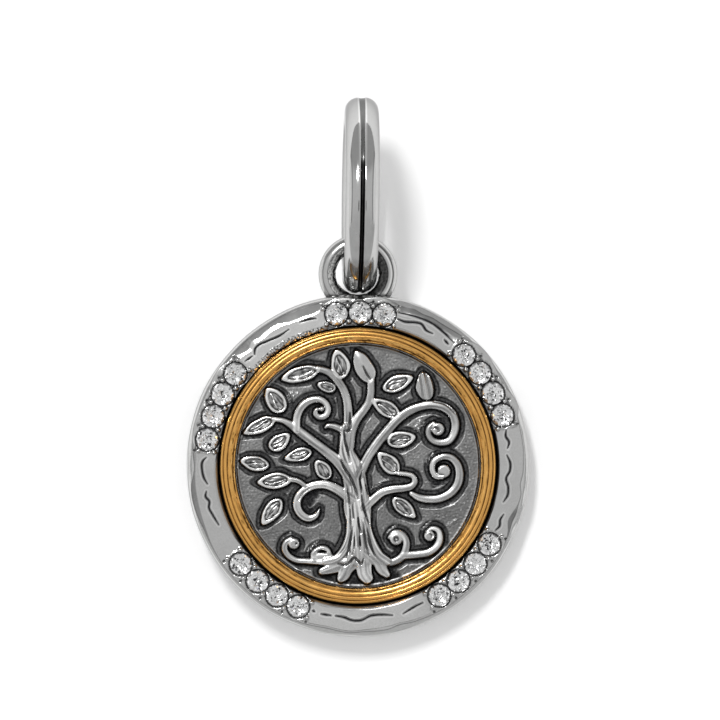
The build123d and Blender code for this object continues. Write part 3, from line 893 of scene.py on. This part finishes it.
def stone_settings(points, height, wear_and_painted_light):
    """Sink the stones' channels and seats into the border and raise the beads."""
    for middle, count, channelled in STONE_GROUPS:
        if channelled:
            height, wear_and_painted_light = cut_channel(points, middle, count, height, wear_and_painted_light)
        centers = [on_circle(stone_circle_radius, d) for d in group_directions(middle, count)]
        away = np.min([from_center(points, *center) for center in centers], axis=0)
        collar = bell(away - collar_radius, 0.045)
        ditch = smooth_step(0.945, 0.90, away)
        height = height + collar_height * collar - ditch_depth * ditch
        wear_and_painted_light = np.maximum(wear_and_painted_light, 0.8 * collar * (away > 0.93)) * (1 - 0.96 * ditch)
        cone = -girdle_sink - (seat_radius - away) * tan(radians(pavilion_angle))
        height = np.where(away < seat_radius, cone, height)
        # The seats are painted dark, as shade under the stones
        wear_and_painted_light = np.where(away < seat_radius, 0.04, wear_and_painted_light)
        for direction in group_directions(middle, count + 1):
            height, wear_and_painted_light = raise_beads(points, direction, away, height, wear_and_painted_light)
    return height, wear_and_painted_light


def border_lines(points, height, wear_and_painted_light):
    """Cut the short wavy lines into the border, with a painted highlight along each side. They thin out at
    their ends.
    """
    for line in BORDER_LINES:
        rows = np.array([
            (*on_circle(between(recess_radius, disc_radius, share / 100), way), border_line_width / 2)
            for way, share in line
        ])
        if len(rows) == 2:
            rows = np.array([rows[0], (rows[0] + rows[1]) / 2, rows[1]])
        rows[[0, -1], 2] /= 2
        outside = band_field(points, smooth_path(rows, 0.08), 0.3)[0]
        cut = smooth_step(0.045, -0.03, outside)
        # A painted highlight along each side of a line
        lip = smooth_step(0.15, 0.10, outside) * smooth_step(0.045, 0.08, outside)
        height = height - border_line_depth * cut
        wear_and_painted_light = wear_and_painted_light * (1 - 0.99 * cut) + 0.22 * lip
    return height, wear_and_painted_light


def rim_at(turn):
    """The rim's radius at each angle: a slightly uneven circle, with a notch that
    clears the loop's hole."""
    loop_up = hinge_z - disc_z
    aside = loop_up * np.cos(turn)
    in_notch = (np.sin(turn) > 0) & (np.abs(aside) < notch_radius)
    entry = loop_up * np.sin(turn) - np.sqrt(np.maximum(notch_radius**2 - aside**2, 0))
    uneven = 0.016 * np.sin(5 * turn + 1) + 0.012 * np.sin(9 * turn + 2.2) + 0.008 * np.sin(17 * turn)
    rim = disc_radius - rim_inset - rim_unevenness + uneven
    return np.where(in_notch, np.minimum(rim, entry), rim)


def border_rows(directions, rim):
    """The border's section from the recess out to the back, in rows that run round the
    medallion. Returns each point's radius, height, wear and kind."""
    bevel, facet, outer, shoulder, polish = (periodic(directions, BORDER, k) for k in range(1, 6))
    outer = np.maximum(outer, facet + 0.012)
    shoulder = np.maximum(shoulder, outer + 0.015)
    # Painted highlight on the face and facets: at the upper left, and less at the bottom
    lit = 0.20 * smooth_step(32, 14, np.abs(directions - 120))
    lit += 0.12 * smooth_step(32, 14, np.abs(directions - 270))
    rows = []

    def row(kind, radius, height, wear_and_painted_light):
        rows.append([np.broadcast_to(value, len(directions)) for value in (radius, height, wear_and_painted_light, kind)])

    def across(share):
        return recess_radius + share * border_width

    bevel_foot = -bevel * border_width * tan(bevel_slope)
    # The gap beside the gold ring is narrower at the upper left
    wall = recess_radius + 0.03 - 0.09 * smooth_step(28, 18, np.abs(directions - 122))
    # Painted highlight up the bevel where it is wide
    shine = 0.80 * smooth_step(0.06, 0.11, bevel)
    for share in np.linspace(0, 1, 4):
        row("wall", wall, between(-recess_depth, bevel_foot, share), 0.03)
    for share in np.linspace(0.125, 1, 8):
        fall = bevel_foot * (1 - share) ** 1.15
        row("bevel", between(wall, across(bevel), share), fall, 0.10 + shine * min(3 * share, 1))
    for share in np.linspace(0.04, 1, 25):
        row("face", across(between(bevel, facet, share)), 0.0, 1.0 + lit)
    facet_fall = -(outer - facet) * border_width * tan(facet_slope)
    for share in (0.15, 0.5, 0.85, 1.0):
        row("facet", across(between(facet, outer, share)), facet_fall * share, 1.03 + lit)
    outer_fall = facet_fall - (shoulder - outer) * border_width * tan(outer_facet_slope)
    # The outer facet's painted brightness: low values paint its dark reflections
    for share in (0.2, 0.5, 0.8):
        fall = between(facet_fall, outer_fall, share)
        row("facet", across(between(outer, shoulder, share)), fall, np.clip(polish, 0, 0.95) + lit)
    row("line", across(shoulder), outer_fall - 0.012, 0.25)
    for share in np.linspace(0.06, 1, 9):
        angle = between(shoulder_start, pi / 2, share)
        outward = (sin(angle) - sin(shoulder_start)) / (1 - sin(shoulder_start))
        downward = 1 - cos(angle) / cos(shoulder_start)
        faint_line = 0.45 < share < 0.6
        radius = between(across(shoulder), rim, outward)
        row("shoulder", radius, outer_fall - shoulder_drop * downward, 0.80 if faint_line else 1.12)
    for share in (0.33, 0.66, 1.0):
        row("rim", rim, between(outer_fall - shoulder_drop, back_height, share), 0.93)
    return (np.concatenate(column) for column in zip(*rows))


def work_border(points, turns, height, wear_and_painted_light, kind):
    """Hammer the face, roughen the bevel at the upper left, cut the lines and set the
    stones."""
    beaten = dent_depth * unevenness(points, 1.7, 3.0) + fine_dent_depth * unevenness(points, 0.6, 7.0)
    height = height + np.where(np.isin(kind, ("face", "facet")), beaten, 0)
    rough = (kind == "bevel") & (np.degrees(turns) > 104) & (np.degrees(turns) < 139)
    height = height + np.where(rough, bevel_roughness * unevenness(points, 0.16, 5.0), 0)
    wear_and_painted_light = wear_and_painted_light + np.where(rough, 2.2 * unevenness(points, 0.12, 9.0), 0)
    worked = np.isin(kind, ("bevel", "face", "facet"))
    new_height, new_wear_and_painted_light = stone_settings(points, *border_lines(points, height, wear_and_painted_light))
    return np.where(worked, new_height, height), np.where(worked, new_wear_and_painted_light, wear_and_painted_light)


def make_frame():
    """The medallion's border, rim, recess and back, as one closed mesh. The recess's
    floor and the back use every fourth column."""
    columns = border_columns
    coarse = columns_per_back_column
    few = columns // coarse
    directions = np.arange(columns) * 360 / columns
    turn = np.radians(directions)
    rim = rim_at(turn)
    radius, height, wear_and_painted_light, kind = border_rows(directions, rim)
    row_count = len(radius) // columns
    turns = np.tile(turn, row_count)
    places = np.stack([radius * np.cos(turns), radius * np.sin(turns)], axis=1)
    height, wear_and_painted_light = work_border(places, turns, height, wear_and_painted_light, kind)
    fine = on_face(places, height)

    def ring(ring_radius, ring_height):
        few_turns = turn[::coarse]
        around = np.stack([ring_radius * np.cos(few_turns), ring_radius * np.sin(few_turns)], axis=1)
        return on_face(around, np.full(few, ring_height))

    back = [
        ring(rim[::coarse] - back_rounding * (1 - cos(angle)), back_height - back_rounding * sin(angle))
        for angle in pi / 2 * np.linspace(1 / 7, 1, 7)
    ]
    back += [ring(back_radius, -disc_thickness) for back_radius in (11.0, 9.5, 7.5, 5.5, 3.5, 1.5)]
    floor = [ring(floor_radius, -recess_depth) for floor_radius in (9.6, 5.0)]
    points = np.concatenate([fine, *back, *floor])
    wear_and_painted_light = np.concatenate([wear_and_painted_light, np.full(len(points) - len(fine), 0.9)])

    faces = ring_faces(row_count, columns)
    last_row = (row_count - 1) * columns
    first_back = len(fine)
    first_floor = first_back + len(back) * few
    for column in range(few):
        beside = (column + 1) % few
        steps = [(column * coarse + step) % columns for step in range(coarse + 1)]
        faces.append((*(last_row + step for step in steps), first_back + beside, first_back + column))
        faces.append((*reversed(steps), first_floor + column, first_floor + beside))
    for start, rings, order in ((first_back, back, 1), (first_floor, floor, -1)):
        patches = [tuple(start + corner for corner in face) for face in ring_faces(len(rings), few)]
        inner = start + (len(rings) - 1) * few
        patches.append(tuple(range(inner, inner + few)))
        faces += [patch[::order] for patch in patches]
    border = (points, faces, wear_and_painted_light)
    add_piece("medallion_frame", *border, hammered_silver, "medallion", "hammered_silver", "frame")


# Gold ring


def ring_section():
    """The ring's section: the radius, the y and the wear of each point. Four rounded
    reeds rise between dark lines."""
    crest = [(ring_inner_radius + ring_width * share, ring_proud * rise) for share, rise in RING_LINES]
    rows = [(ring_inner_radius, -0.5, 0.15), (ring_inner_radius, -0.1, 0.30)]
    for start, end in zip(crest, crest[1:]):
        for share in np.arange(reed_points) / reed_points:
            swell = reed_bulge * (1 - (2 * share - 1) ** 2) ** 0.75
            from_line = min(share, 1 - share) * (end[0] - start[0])
            cut = reed_groove_depth * smooth_step(0.05, 0.0, from_line)
            tone = 0.97 - 0.84 * smooth_step(0.068, 0.012, from_line)
            radius, height = (between(*pair, share) for pair in zip(start, end))
            rows.append((radius, height + swell - cut, tone))
    top_y = ring_low[1] + 0.012 + max(height for _, height, _ in rows)
    rows += [(*crest[-1], 0.3), (ring_outer_radius, -0.1, 0.1), (ring_outer_radius, -0.5, 0.1)]
    back = [(radius, ring_high[1], 0.3) for radius in (ring_outer_radius, ring_inner_radius)]
    return [(radius, top_y - height, tone) for radius, height, tone in rows] + back


def ring_point(angle, radius, y, _):
    """A point of the ring, with soft dents along its inner bead."""
    near_inner = max(1 - (radius - ring_inner_radius) / 0.22, 0.0) * (y < ring_high[1])
    dent = max(grain(cos(angle) * 22, sin(angle) * 22, 1.0), 0.0)
    return (radius * cos(angle), y + 0.03 * dent * near_inner, disc_z + radius * sin(angle))


def ring_wear(angle, radius, _, tone):
    """How worn the ring is: unevenly, and nicked above all on its inner reeds."""
    share = (radius - ring_inner_radius) / ring_width
    worn = grain(cos(angle) * 9, sin(angle) * 9, share * 9)
    nick = grain(cos(angle) * 26, sin(angle) * 26, share * 14)
    inside = smooth_step(0.62, 0.25, share)
    tone += 0.40 * worn * (0.3 + inside) + (1 - tone) * max(worn + 0.1, 0.0) * 0.8
    return clip(tone - 0.9 * inside * smooth_step(0.28, 0.45, nick), 0.02, 1.4)


def make_gold_ring():
    """The reeded ring."""
    ring = revolve(ring_section(), ring_turns, ring_point, ring_wear)
    add_piece("gold_reeded_ring", *ring, gold, "medallion", "gold", "gold_ring")


# Tree plate


def fibres(outside, across, along, seed):
    """Noise inside a form, at places that are given across and along it. It is 0
    elsewhere."""
    inside = outside < 0
    values = np.zeros(len(outside))
    values[inside] = unevenness(np.stack([across[inside], along[inside]], axis=1), 1.0, seed)
    return values


def oval_field(run, lateral, half_length, half_width):
    """How far each point is outside a pointed oval about the origin."""
    radius = (half_length**2 + half_width**2) / (2 * half_width)
    sides = (np.hypot(run, radius - half_width + sign * lateral) for sign in (1, -1))
    return smooth_max(*sides, 0.30) - radius


def leaf_field(points, tip, base, half_width, kind, seed):
    """How far each point is outside a leaf, its height over the ground and its wear."""
    along = base - tip
    length = hypot(*along)
    along = along / length
    from_middle = points - (tip + base) / 2
    run = from_middle @ along
    # A leaf is wider towards its base
    lateral = from_middle @ (-along[1], along[0]) / (1 + 0.35 * np.clip(run / length, -0.5, 0.5))
    oval = np.array((1.07 * length / 2, 1.08 * half_width))
    outside = oval_field(run, lateral, *oval) + 0.07 * unevenness(points, 0.9, 3.0 * seed + 1)
    height = relief(outside, leaf_height, leaf_edge_radius, form_flank, 0.04)
    if kind == "sunk":
        streaks = fibres(outside, run / 0.42, lateral / 0.13, 4.0 * seed)
        from_edge = oval_field(run - 0.04 * length, lateral, *oval * (0.74, 0.60)) + 0.06 * streaks
        basin = smooth_step(0.03, -0.05, from_edge)
        from_vein = lateral - 0.14 * half_width * np.sin(run / length * 8 + 2.4 * seed)
        short = smooth_step(0.30, 0.22, np.abs(run / length - 0.02)) * basin
        vein = bell(from_vein, 0.04) * short
        light = bell(from_vein - 0.09 * (1 if seed % 2 else -1), 0.04) * short
        height = height - (leaf_basin_depth - 0.04 * streaks) * basin + 0.08 * light - 0.05 * vein
        # A painted highlight on the rim, a dark line at the basin's edge, a darker basin, a dark vein and a
        # painted highlight on the raised streak beside it
        wear_and_painted_light = 1.42 - 0.80 * bell(from_edge, 0.045) - (0.92 - 1.1 * streaks) * basin
        wear_and_painted_light = wear_and_painted_light * (1 - 0.92 * vein) + 0.85 * light
    elif kind == "pleated":
        pleats = np.cos(lateral / half_width * 2.6 * pi)
        inner = smooth_step(0.0, -0.12, outside)
        height = height + 0.06 * pleats * inner
        # Darker between the pleats, with a painted highlight on the rim
        wear_and_painted_light = 1.0 - 0.60 * smooth_step(-0.2, -0.9, pleats) * inner + 0.3 * (1 - inner)
    else:
        height = height + 0.10 * np.clip(-outside / half_width, 0, 1)
        # A painted highlight towards the rim
        wear_and_painted_light = 1.0 + 0.4 * smooth_step(-0.16, -0.06, outside)
    return outside, height, np.clip(wear_and_painted_light, 0.03, 1.5)


def plate_grid():
    """Places on the plate: a square grid that is drawn out into a disc."""
    steps = np.linspace(-1, 1, plate_columns)
    across, up = (grid.ravel() for grid in np.meshgrid(steps, steps, indexing="ij"))
    wide = np.abs(across) > np.abs(up)
    safe_across, safe_up = (np.where(np.abs(grid) < 1e-9, 1e-9, grid) for grid in (across, up))
    radius = np.where(wide, across, up)
    angle = np.where(wide, pi / 4 * up / safe_across, pi / 2 - pi / 4 * across / safe_up)
    return np.stack([radius * np.cos(angle), radius * np.sin(angle)], axis=1) * plate_radius


def grow_limbs(points):
    """The trunk, limbs, roots and eyes: the height over the ground, the wear, and how
    far each point is outside them all."""
    height, wear_and_painted_light = np.zeros((2, len(points)))
    form = np.full(len(points), 2.0)
    for seed, (name, rows) in enumerate(LIMBS.items()):
        path = smooth_path(np.array(rows) * unit * (1, 1, limb_fullness), 0.05)
        outside, half_width, side, place = band_field(points, path, 1.2)
        strands = fibres(outside, side / 0.13, place / 2.0, 5.0 * seed + 0.5)
        top, ridges, polish, contrast = limb_height, 0.012, 0.86, 0.8
        if name in ("trunk", "left flare", "right flare"):
            top, ridges, polish, contrast = trunk_height, 0.07, 0.93, 1.7
        elif name in DARKER_LIMBS:
            polish = 0.70
        edge_radius = trunk_edge_radius if name == "trunk" else limb_edge_radius
        limb = relief(outside, top, edge_radius, form_flank, limb_fillet)
        limb += spine_height * np.clip(-outside / half_width, 0, 1)
        limb += ridges * strands * smooth_step(0.02, 0.15, -outside)
        height = smooth_max(height, limb, limb_fillet)
        wear_and_painted_light = np.where(outside < -0.02, np.maximum(polish + contrast * strands, 0.1), wear_and_painted_light)
        form = np.minimum(form, outside)
    for across, up, radius in EYES:
        outside = from_center(points, across * unit, up * unit) - radius * unit
        eye = relief(outside, eye_height, eye_edge_radius, 0.06, fine_fillet)
        height = smooth_max(height, eye, fine_fillet)
        wear_and_painted_light = np.where(outside < -0.02, 0.88, wear_and_painted_light)
        form = np.minimum(form, outside)
    return height, wear_and_painted_light, form


def facing_light(points, height):
    """How steeply the surface faces up and to the left."""
    grids = (value.reshape(plate_columns, plate_columns) for value in (height, *points.T))
    (height_1, height_2), (u_1, u_2), (v_1, v_2) = map(np.gradient, grids)
    area = u_1 * v_2 - u_2 * v_1
    area = np.where(np.abs(area) < 1e-6, 1e-6, area)
    slope_u = (height_1 * v_2 - height_2 * v_1) / area
    slope_v = (height_2 * u_1 - height_1 * u_2) / area
    return (0.6 * slope_u - 0.8 * slope_v).ravel()


def carve_ground(points, height, tone, form):
    """The ground round the forms: a carved trough with a low ridge at its outer edge,
    deep hollows inside the curls, and pits. Returns the height and the wear."""
    away = form + 0.09 * unevenness(points, 1.3, 21.0) + 0.04 * unevenness(points, 0.4, 23.0)
    pits = unevenness(points, 0.13, 11.0)
    soft = unevenness(points, 1.1, 2.0)
    broken = smooth_step(-0.1, 0.4, unevenness(points, 0.9, 8.0))
    contour = smooth_step(0.15, 0.06, form) + 0.7 * (1 - broken) * bell(away - 0.33, 0.04)
    ridge = bell(away - ridge_reach, 0.035) * (form > 0.1) * broken
    hollow = np.zeros(len(points))
    for across, up, radius in HOLLOWS:
        distance = from_center(points, across * unit, up * unit) / unit + 0.6 * soft
        hollow = np.maximum(hollow, smooth_step(radius, 0.5 * radius, distance) * (form > 0))
    trough = np.maximum(smooth_step(trough_reach, 0.25, away) * (form > 0), hollow)
    ground = smooth_step(0.0, 0.06, form)
    worked = ridge_height * ridge - trough_depth * trough + 0.010 * (1 - trough) * pits + 0.008 * soft
    height = height + ground * worked + (1 - ground) * 0.006 * unevenness(points, 0.45, 6.0)
    low = smooth_step(-1.0, -4.0, points[:, 1])
    open_wear = 0.33 - 0.04 * low + 0.07 * soft + 0.15 * pits + 0.5 * smooth_step(0.50, 0.70, pits)
    wear_and_painted_light = between(open_wear, (0.08 + 0.05 * pits) * (1 - 0.8 * hollow), trough)
    # A painted highlight on the low ridge at the trough's outer edge
    wear_and_painted_light = wear_and_painted_light - 0.30 * contour + 0.30 * ridge
    return height, np.where(form < 0, tone, np.maximum(wear_and_painted_light, 0.01))


def work_details(points, height, wear_and_painted_light, form):
    """Dimples in the eyes, grooves in the bark, and burrs beside the scrolls."""
    for across, up, radius in DIMPLES:
        away = from_center(points, across * unit, up * unit) / unit
        dip = smooth_step(radius, 0.6 * radius, away)
        height = height - dimple_depth * dip
        wear_and_painted_light = wear_and_painted_light * (1 - 0.45 * dip) * (1 - 0.75 * bell(away - 0.85 * radius, 0.6))
    for groove in GROOVES:
        outside = band_field(points, smooth_path(np.array(groove) * unit, 0.06), 0.4)[0]
        cut = smooth_step(0.05, -0.05, outside)
        height = height - bark_groove_depth * cut
        wear_and_painted_light = wear_and_painted_light * (1 - 0.88 * cut)
    flecks = smooth_step(0.05, 0.25, unevenness(points, 0.10, 15.0))
    for start_across, start_up, end_across, end_up in BURRS:
        rows = np.array(((start_across, start_up, 1.2), (end_across, end_up, 1.2))) * unit
        outside, _, side, _ = band_field(points, rows, 0.4)
        strokes = 0.5 + 0.5 * np.cos(side / 0.075 * pi)
        burr = smooth_step(0.04, -0.03, outside) * np.clip(0.35 * strokes + 0.8 * flecks, 0, 1)
        height = height + burr_height * burr * smooth_step(0.0, 0.06, form)
        wear_and_painted_light = np.maximum(wear_and_painted_light, 0.9 * burr * (form > 0.02))
    return height, wear_and_painted_light


def make_tree_plate():
    """The plate with its tree, as one closed mesh."""
    points = plate_grid()
    height, tone, form = grow_limbs(points)
    # Painted highlights on the limbs' edges, brighter where they face up and left, towards the light
    painted_edge_highlight = smooth_step(0.25, 0.12, -form) * (form < 0) * (tone > 0)
    tone = tone + painted_edge_highlight * (0.36 + 0.50 * np.tanh(1.2 * facing_light(points, height)))
    for seed, (*ends, half_width, kind) in enumerate(LEAVES):
        tip, base = np.reshape(ends, (2, 2)) * unit
        outside, leaf, leaf_wear_and_painted_light = leaf_field(points, tip, base, half_width * unit, kind, seed)
        height = smooth_max(height, leaf, fine_fillet)
        tone = np.where(outside < -0.01, leaf_wear_and_painted_light, tone)
        form = np.minimum(form, outside)
    tone = tone * smooth_step(0.02, -0.05, form)
    height, wear_and_painted_light = carve_ground(points, height, tone, form)
    height, wear_and_painted_light = work_details(points, height, wear_and_painted_light, form)

    reach = np.hypot(*points.T) / plate_radius
    lip = bell(reach - 0.984, 0.006)
    height = height * (1 - smooth_step(0.988, 1.0, reach)) + lip_height * lip
    # The lip is bright, and the plate's very edge is painted with shade where it meets the gold ring
    wear_and_painted_light = np.maximum(wear_and_painted_light, 0.70 * lip) * (1 - 0.6 * smooth_step(0.992, 1.0, reach))

    top = on_face(points, height, face_y + ground_depth)
    index = np.arange(len(top)).reshape(plate_columns, plate_columns)
    corners = (index[:-1, :-1], index[:-1, 1:], index[1:, 1:], index[1:, :-1])
    faces = np.stack(corners, axis=-1).reshape(-1, 4).tolist()
    edge = np.concatenate([index[:-1, 0], index[-1, :-1], index[:0:-1, -1], index[0, :0:-1]])
    foot = top[edge]
    foot[:, 1] = plate_high[1]
    base = np.arange(len(top), len(top) + len(foot))
    faces += np.stack([edge, np.roll(edge, -1), np.roll(base, -1), base], axis=1).tolist()
    faces.append(base.tolist())
    wear_and_painted_light = np.concatenate([np.clip(wear_and_painted_light, 0, 1.5), np.full(len(foot), 0.2)])
    plate = (np.concatenate([top, foot]), faces, wear_and_painted_light)
    add_piece("tree_relief", *plate, oxidised_silver, "medallion", "oxidised_silver", "tree_plate")


# Stones


def brilliant_mesh():
    """A round brilliant about the origin, its table up: a crown of glass over a
    pavilion of foil."""
    sides = 16
    mains = 8
    half_girdle = girdle_thickness / 2
    table = half_girdle + crown_height
    pavilion = stone_radius * tan(radians(pavilion_angle))
    side_reach = stone_radius * cos(pi / sides)
    star_reach = (stone_radius - crown_height / tan(radians(crown_angle))) * cos(pi / mains)
    stone = bmesh.new()
    bmesh.ops.create_cone(
        stone, cap_ends=True, segments=sides, radius1=stone_radius, radius2=stone_radius,
        depth=2 * (pavilion + half_girdle),
    )
    # Each cut: how many facets, their turn in shares of their pitch, their tilt in
    # degrees, and the radius and the level that they pass through
    cuts = (
        (1, 0, 0.0, 0.0, table),
        (mains, 0, crown_angle, stone_radius, half_girdle),
        (mains, 0.5, star_angle, star_reach, table),
        (sides, 0.5, upper_girdle_angle, side_reach, half_girdle),
        (mains, 0, 180 - pavilion_angle, stone_radius, -half_girdle),
        (sides, 0.5, 180 - lower_girdle_angle, side_reach, -half_girdle),
    )
    for count, shift, tilt, reach, level in cuts:
        outward, upward = sin(radians(tilt)), cos(radians(tilt))
        for facet in range(count):
            angle = 2 * pi * (facet + shift) / count
            bmesh.ops.bisect_plane(
                stone, geom=stone.verts[:] + stone.edges[:] + stone.faces[:],
                plane_co=(reach * cos(angle), reach * sin(angle), level),
                plane_no=(outward * cos(angle), outward * sin(angle), upward),
                clear_outer=True, dist=1e-6,
            )
            open_edges = [edge for edge in stone.edges if edge.is_boundary]
            if open_edges:
                bmesh.ops.holes_fill(stone, edges=open_edges, sides=0)
    bmesh.ops.recalc_face_normals(stone, faces=stone.faces[:])
    mesh = bpy.data.meshes.new("brilliant")
    for face in stone.faces:
        face.material_index = 1 if face.normal.z < -0.1 else 0
        face.smooth = False
    stone.to_mesh(mesh)
    stone.free()
    return mesh


def make_stones():
    """A brilliant in each seat, each turned by its own amount about its axis."""
    pattern = brilliant_mesh()
    directions = [one for middle, count, _ in STONE_GROUPS for one in group_directions(middle, count)]
    for number, direction in enumerate(directions, 1):
        u, v = on_circle(stone_circle_radius, direction)
        turn = 0.7 * number
        mesh = pattern.copy()
        mesh.name = f"stone_{number:02d}"
        for vertex in mesh.vertices:
            x, y, z = vertex.co
            across = x * cos(turn) - y * sin(turn)
            up = x * sin(turn) + y * cos(turn)
            vertex.co = Vector((u + across, face_y + girdle_sink - z, disc_z + v + up)) * MM
        mesh.flip_normals()
        mesh.update()
        stone = scene_object(mesh, crystal_glass, crystal_foil)
        tie(stone, "medallion", f"crystal_{number:02d}")
    bpy.data.meshes.remove(pattern)


# Stage, lights and camera


def make_paper():
    """Pale paper that glows a little as painted light, darkens towards the floor and isn't seen from
    behind.
    """
    material = bpy.data.materials.new("pale_glowing_paper")
    tree = node_tree(material)
    up = add(tree, "SeparateXYZ", object_place(tree)).outputs["Z"]
    # The paper glows a little, as painted light, to stay white
    paper = add(
        tree, "BsdfPrincipled", Base_Color=map_range(tree, up, -0.080, -0.050, 0.42, 0.93),
        Roughness=0.9, Specular_IOR_Level=0.0, Emission_Color=(1, 1, 1, 1), Emission_Strength=0.17,
    )
    clear = add(tree, "BsdfTransparent")
    behind = add(tree, "NewGeometry").outputs["Backfacing"]
    choose = add(tree, "MixShader", behind, paper.outputs["BSDF"], clear.outputs["BSDF"])
    add(tree, "OutputMaterial", Surface=choose.outputs["Shader"])
    return material


def make_stage():
    """A pale sheet close behind the pendant that sweeps forward into a floor. It stands
    back at the top, behind the bail."""
    near_y = back_y + 1.0
    far_y = back_y + 7.3
    half_width = 260.0
    side_slope = 0.05
    sloping_half_width = 20
    bend_radius = 50.0
    bend_z = -70.0
    floor_length = 60.0
    line = [(far_y, 200.0), (far_y, 20.0)]
    line += [
        (between(near_y, far_y, smooth_step(-19.0, -5.0, z)), z) for z in np.linspace(0, -22, 34)
    ]
    line.append((near_y, bend_z))
    line += [
        (near_y - bend_radius * (1 - cos(angle)), bend_z - bend_radius * sin(angle))
        for angle in pi / 2 * np.arange(1, 13) / 12
    ]
    line.append((near_y - bend_radius - floor_length, line[-1][1]))
    aside = (-half_width, -sloping_half_width, sloping_half_width, half_width)
    points = [(x, y - side_slope * x * (abs(x) < half_width), z) for y, z in line for x in aside]
    corners = [4 * row + column for row in range(len(line) - 1) for column in range(3)]
    mesh = mesh_of("floor", points, [(corner, corner + 1, corner + 5, corner + 4) for corner in corners])
    if mesh.polygons[0].normal.y > 0:
        mesh.flip_normals()
    scene_object(mesh, make_paper())


def make_world():
    """White behind the pendant, and a soft grey studio in its reflections."""
    world = bpy.data.worlds.new("studio")
    tree = node_tree(world)
    axes = add(tree, "SeparateXYZ", add(tree, "TexCoord").outputs["Generated"]).outputs

    def size_of(axis, shift=0.0):
        return calculate(tree, "ABSOLUTE", calculate(tree, "ADD", axes[axis], shift))

    def rise(value, low, high):
        return map_range(tree, value, low, high, smooth=True)

    ceiling = rise(axes["Z"], 0.30, 0.55)
    ground = rise(axes["Z"], -0.15, -0.60)
    patch_width = rise(size_of("X"), 0.10, 0.07)
    dark_patch = calculate(tree, "MULTIPLY", patch_width, rise(size_of("Z", 0.24), 0.11, 0.09))
    side_gaps = rise(size_of("X"), 0.80, 0.84)
    side_lamps = rise(size_of("X"), 0.89, 0.92)
    back_wall = rise(axes["Y"], 0.10, 0.25)
    tone = 0.69
    for share, zone_tone in (
        (ceiling, 0.44), (ground, 0.58), (dark_patch, 0.10),
        (side_gaps, 0.36), (side_lamps, 0.97), (back_wall, 1.0),
    ):
        tone = add(tree, "Mix", share, None, tone, zone_tone).outputs[0]
    studio = add(tree, "Background", Color=tone)
    white = add(tree, "Background", Color=(1, 1, 1, 1), Strength=1.05)
    seen = add(tree, "LightPath").outputs["Is Camera Ray"]
    choose = add(tree, "MixShader", seen, studio.outputs["Background"], white.outputs["Background"])
    add(tree, "OutputWorld", Surface=choose.outputs["Shader"])
    bpy.context.scene.world = world


def add_light(name, direction, distance_mm, size_mm, strength):
    """A soft box that faces the medallion from a direction. Strength is its radiance."""
    data = bpy.data.lights.new(name, "AREA")
    data.shape = "RECTANGLE"
    data.size, data.size_y = (side * MM for side in size_mm)
    data.energy = strength * pi * data.size * data.size_y
    light = scene_object(data)
    away = Vector(direction).normalized()
    light.location = (Vector((0, 0, disc_z)) + away * distance_mm) * MM
    light.rotation_euler = (-away).to_track_quat("-Z", "Y").to_euler()
    light.visible_camera = False


def make_camera():
    """The camera, square to the face, with the photograph's framing."""
    data = bpy.data.cameras.new("camera")
    data.sensor_width = 36.0
    data.lens = data.sensor_width * camera_distance / shown_width
    data.clip_start = 0.01
    data.clip_end = 10.0
    camera = scene_object(data)
    camera.location = Vector((camera_across, -camera_distance, disc_z + camera_above_disc)) * MM
    camera.rotation_euler = (pi / 2, 0, 0)
    bpy.context.scene.camera = camera


make_bail()
make_loop()
make_frame()
make_gold_ring()
make_tree_plate()
make_stones()
make_stage()
make_world()
add_light("key", (-0.22, -1.0, 0.50), 600, (80, 130), 51.0)
make_camera()
bpy.context.scene.view_settings.view_transform = "Standard"
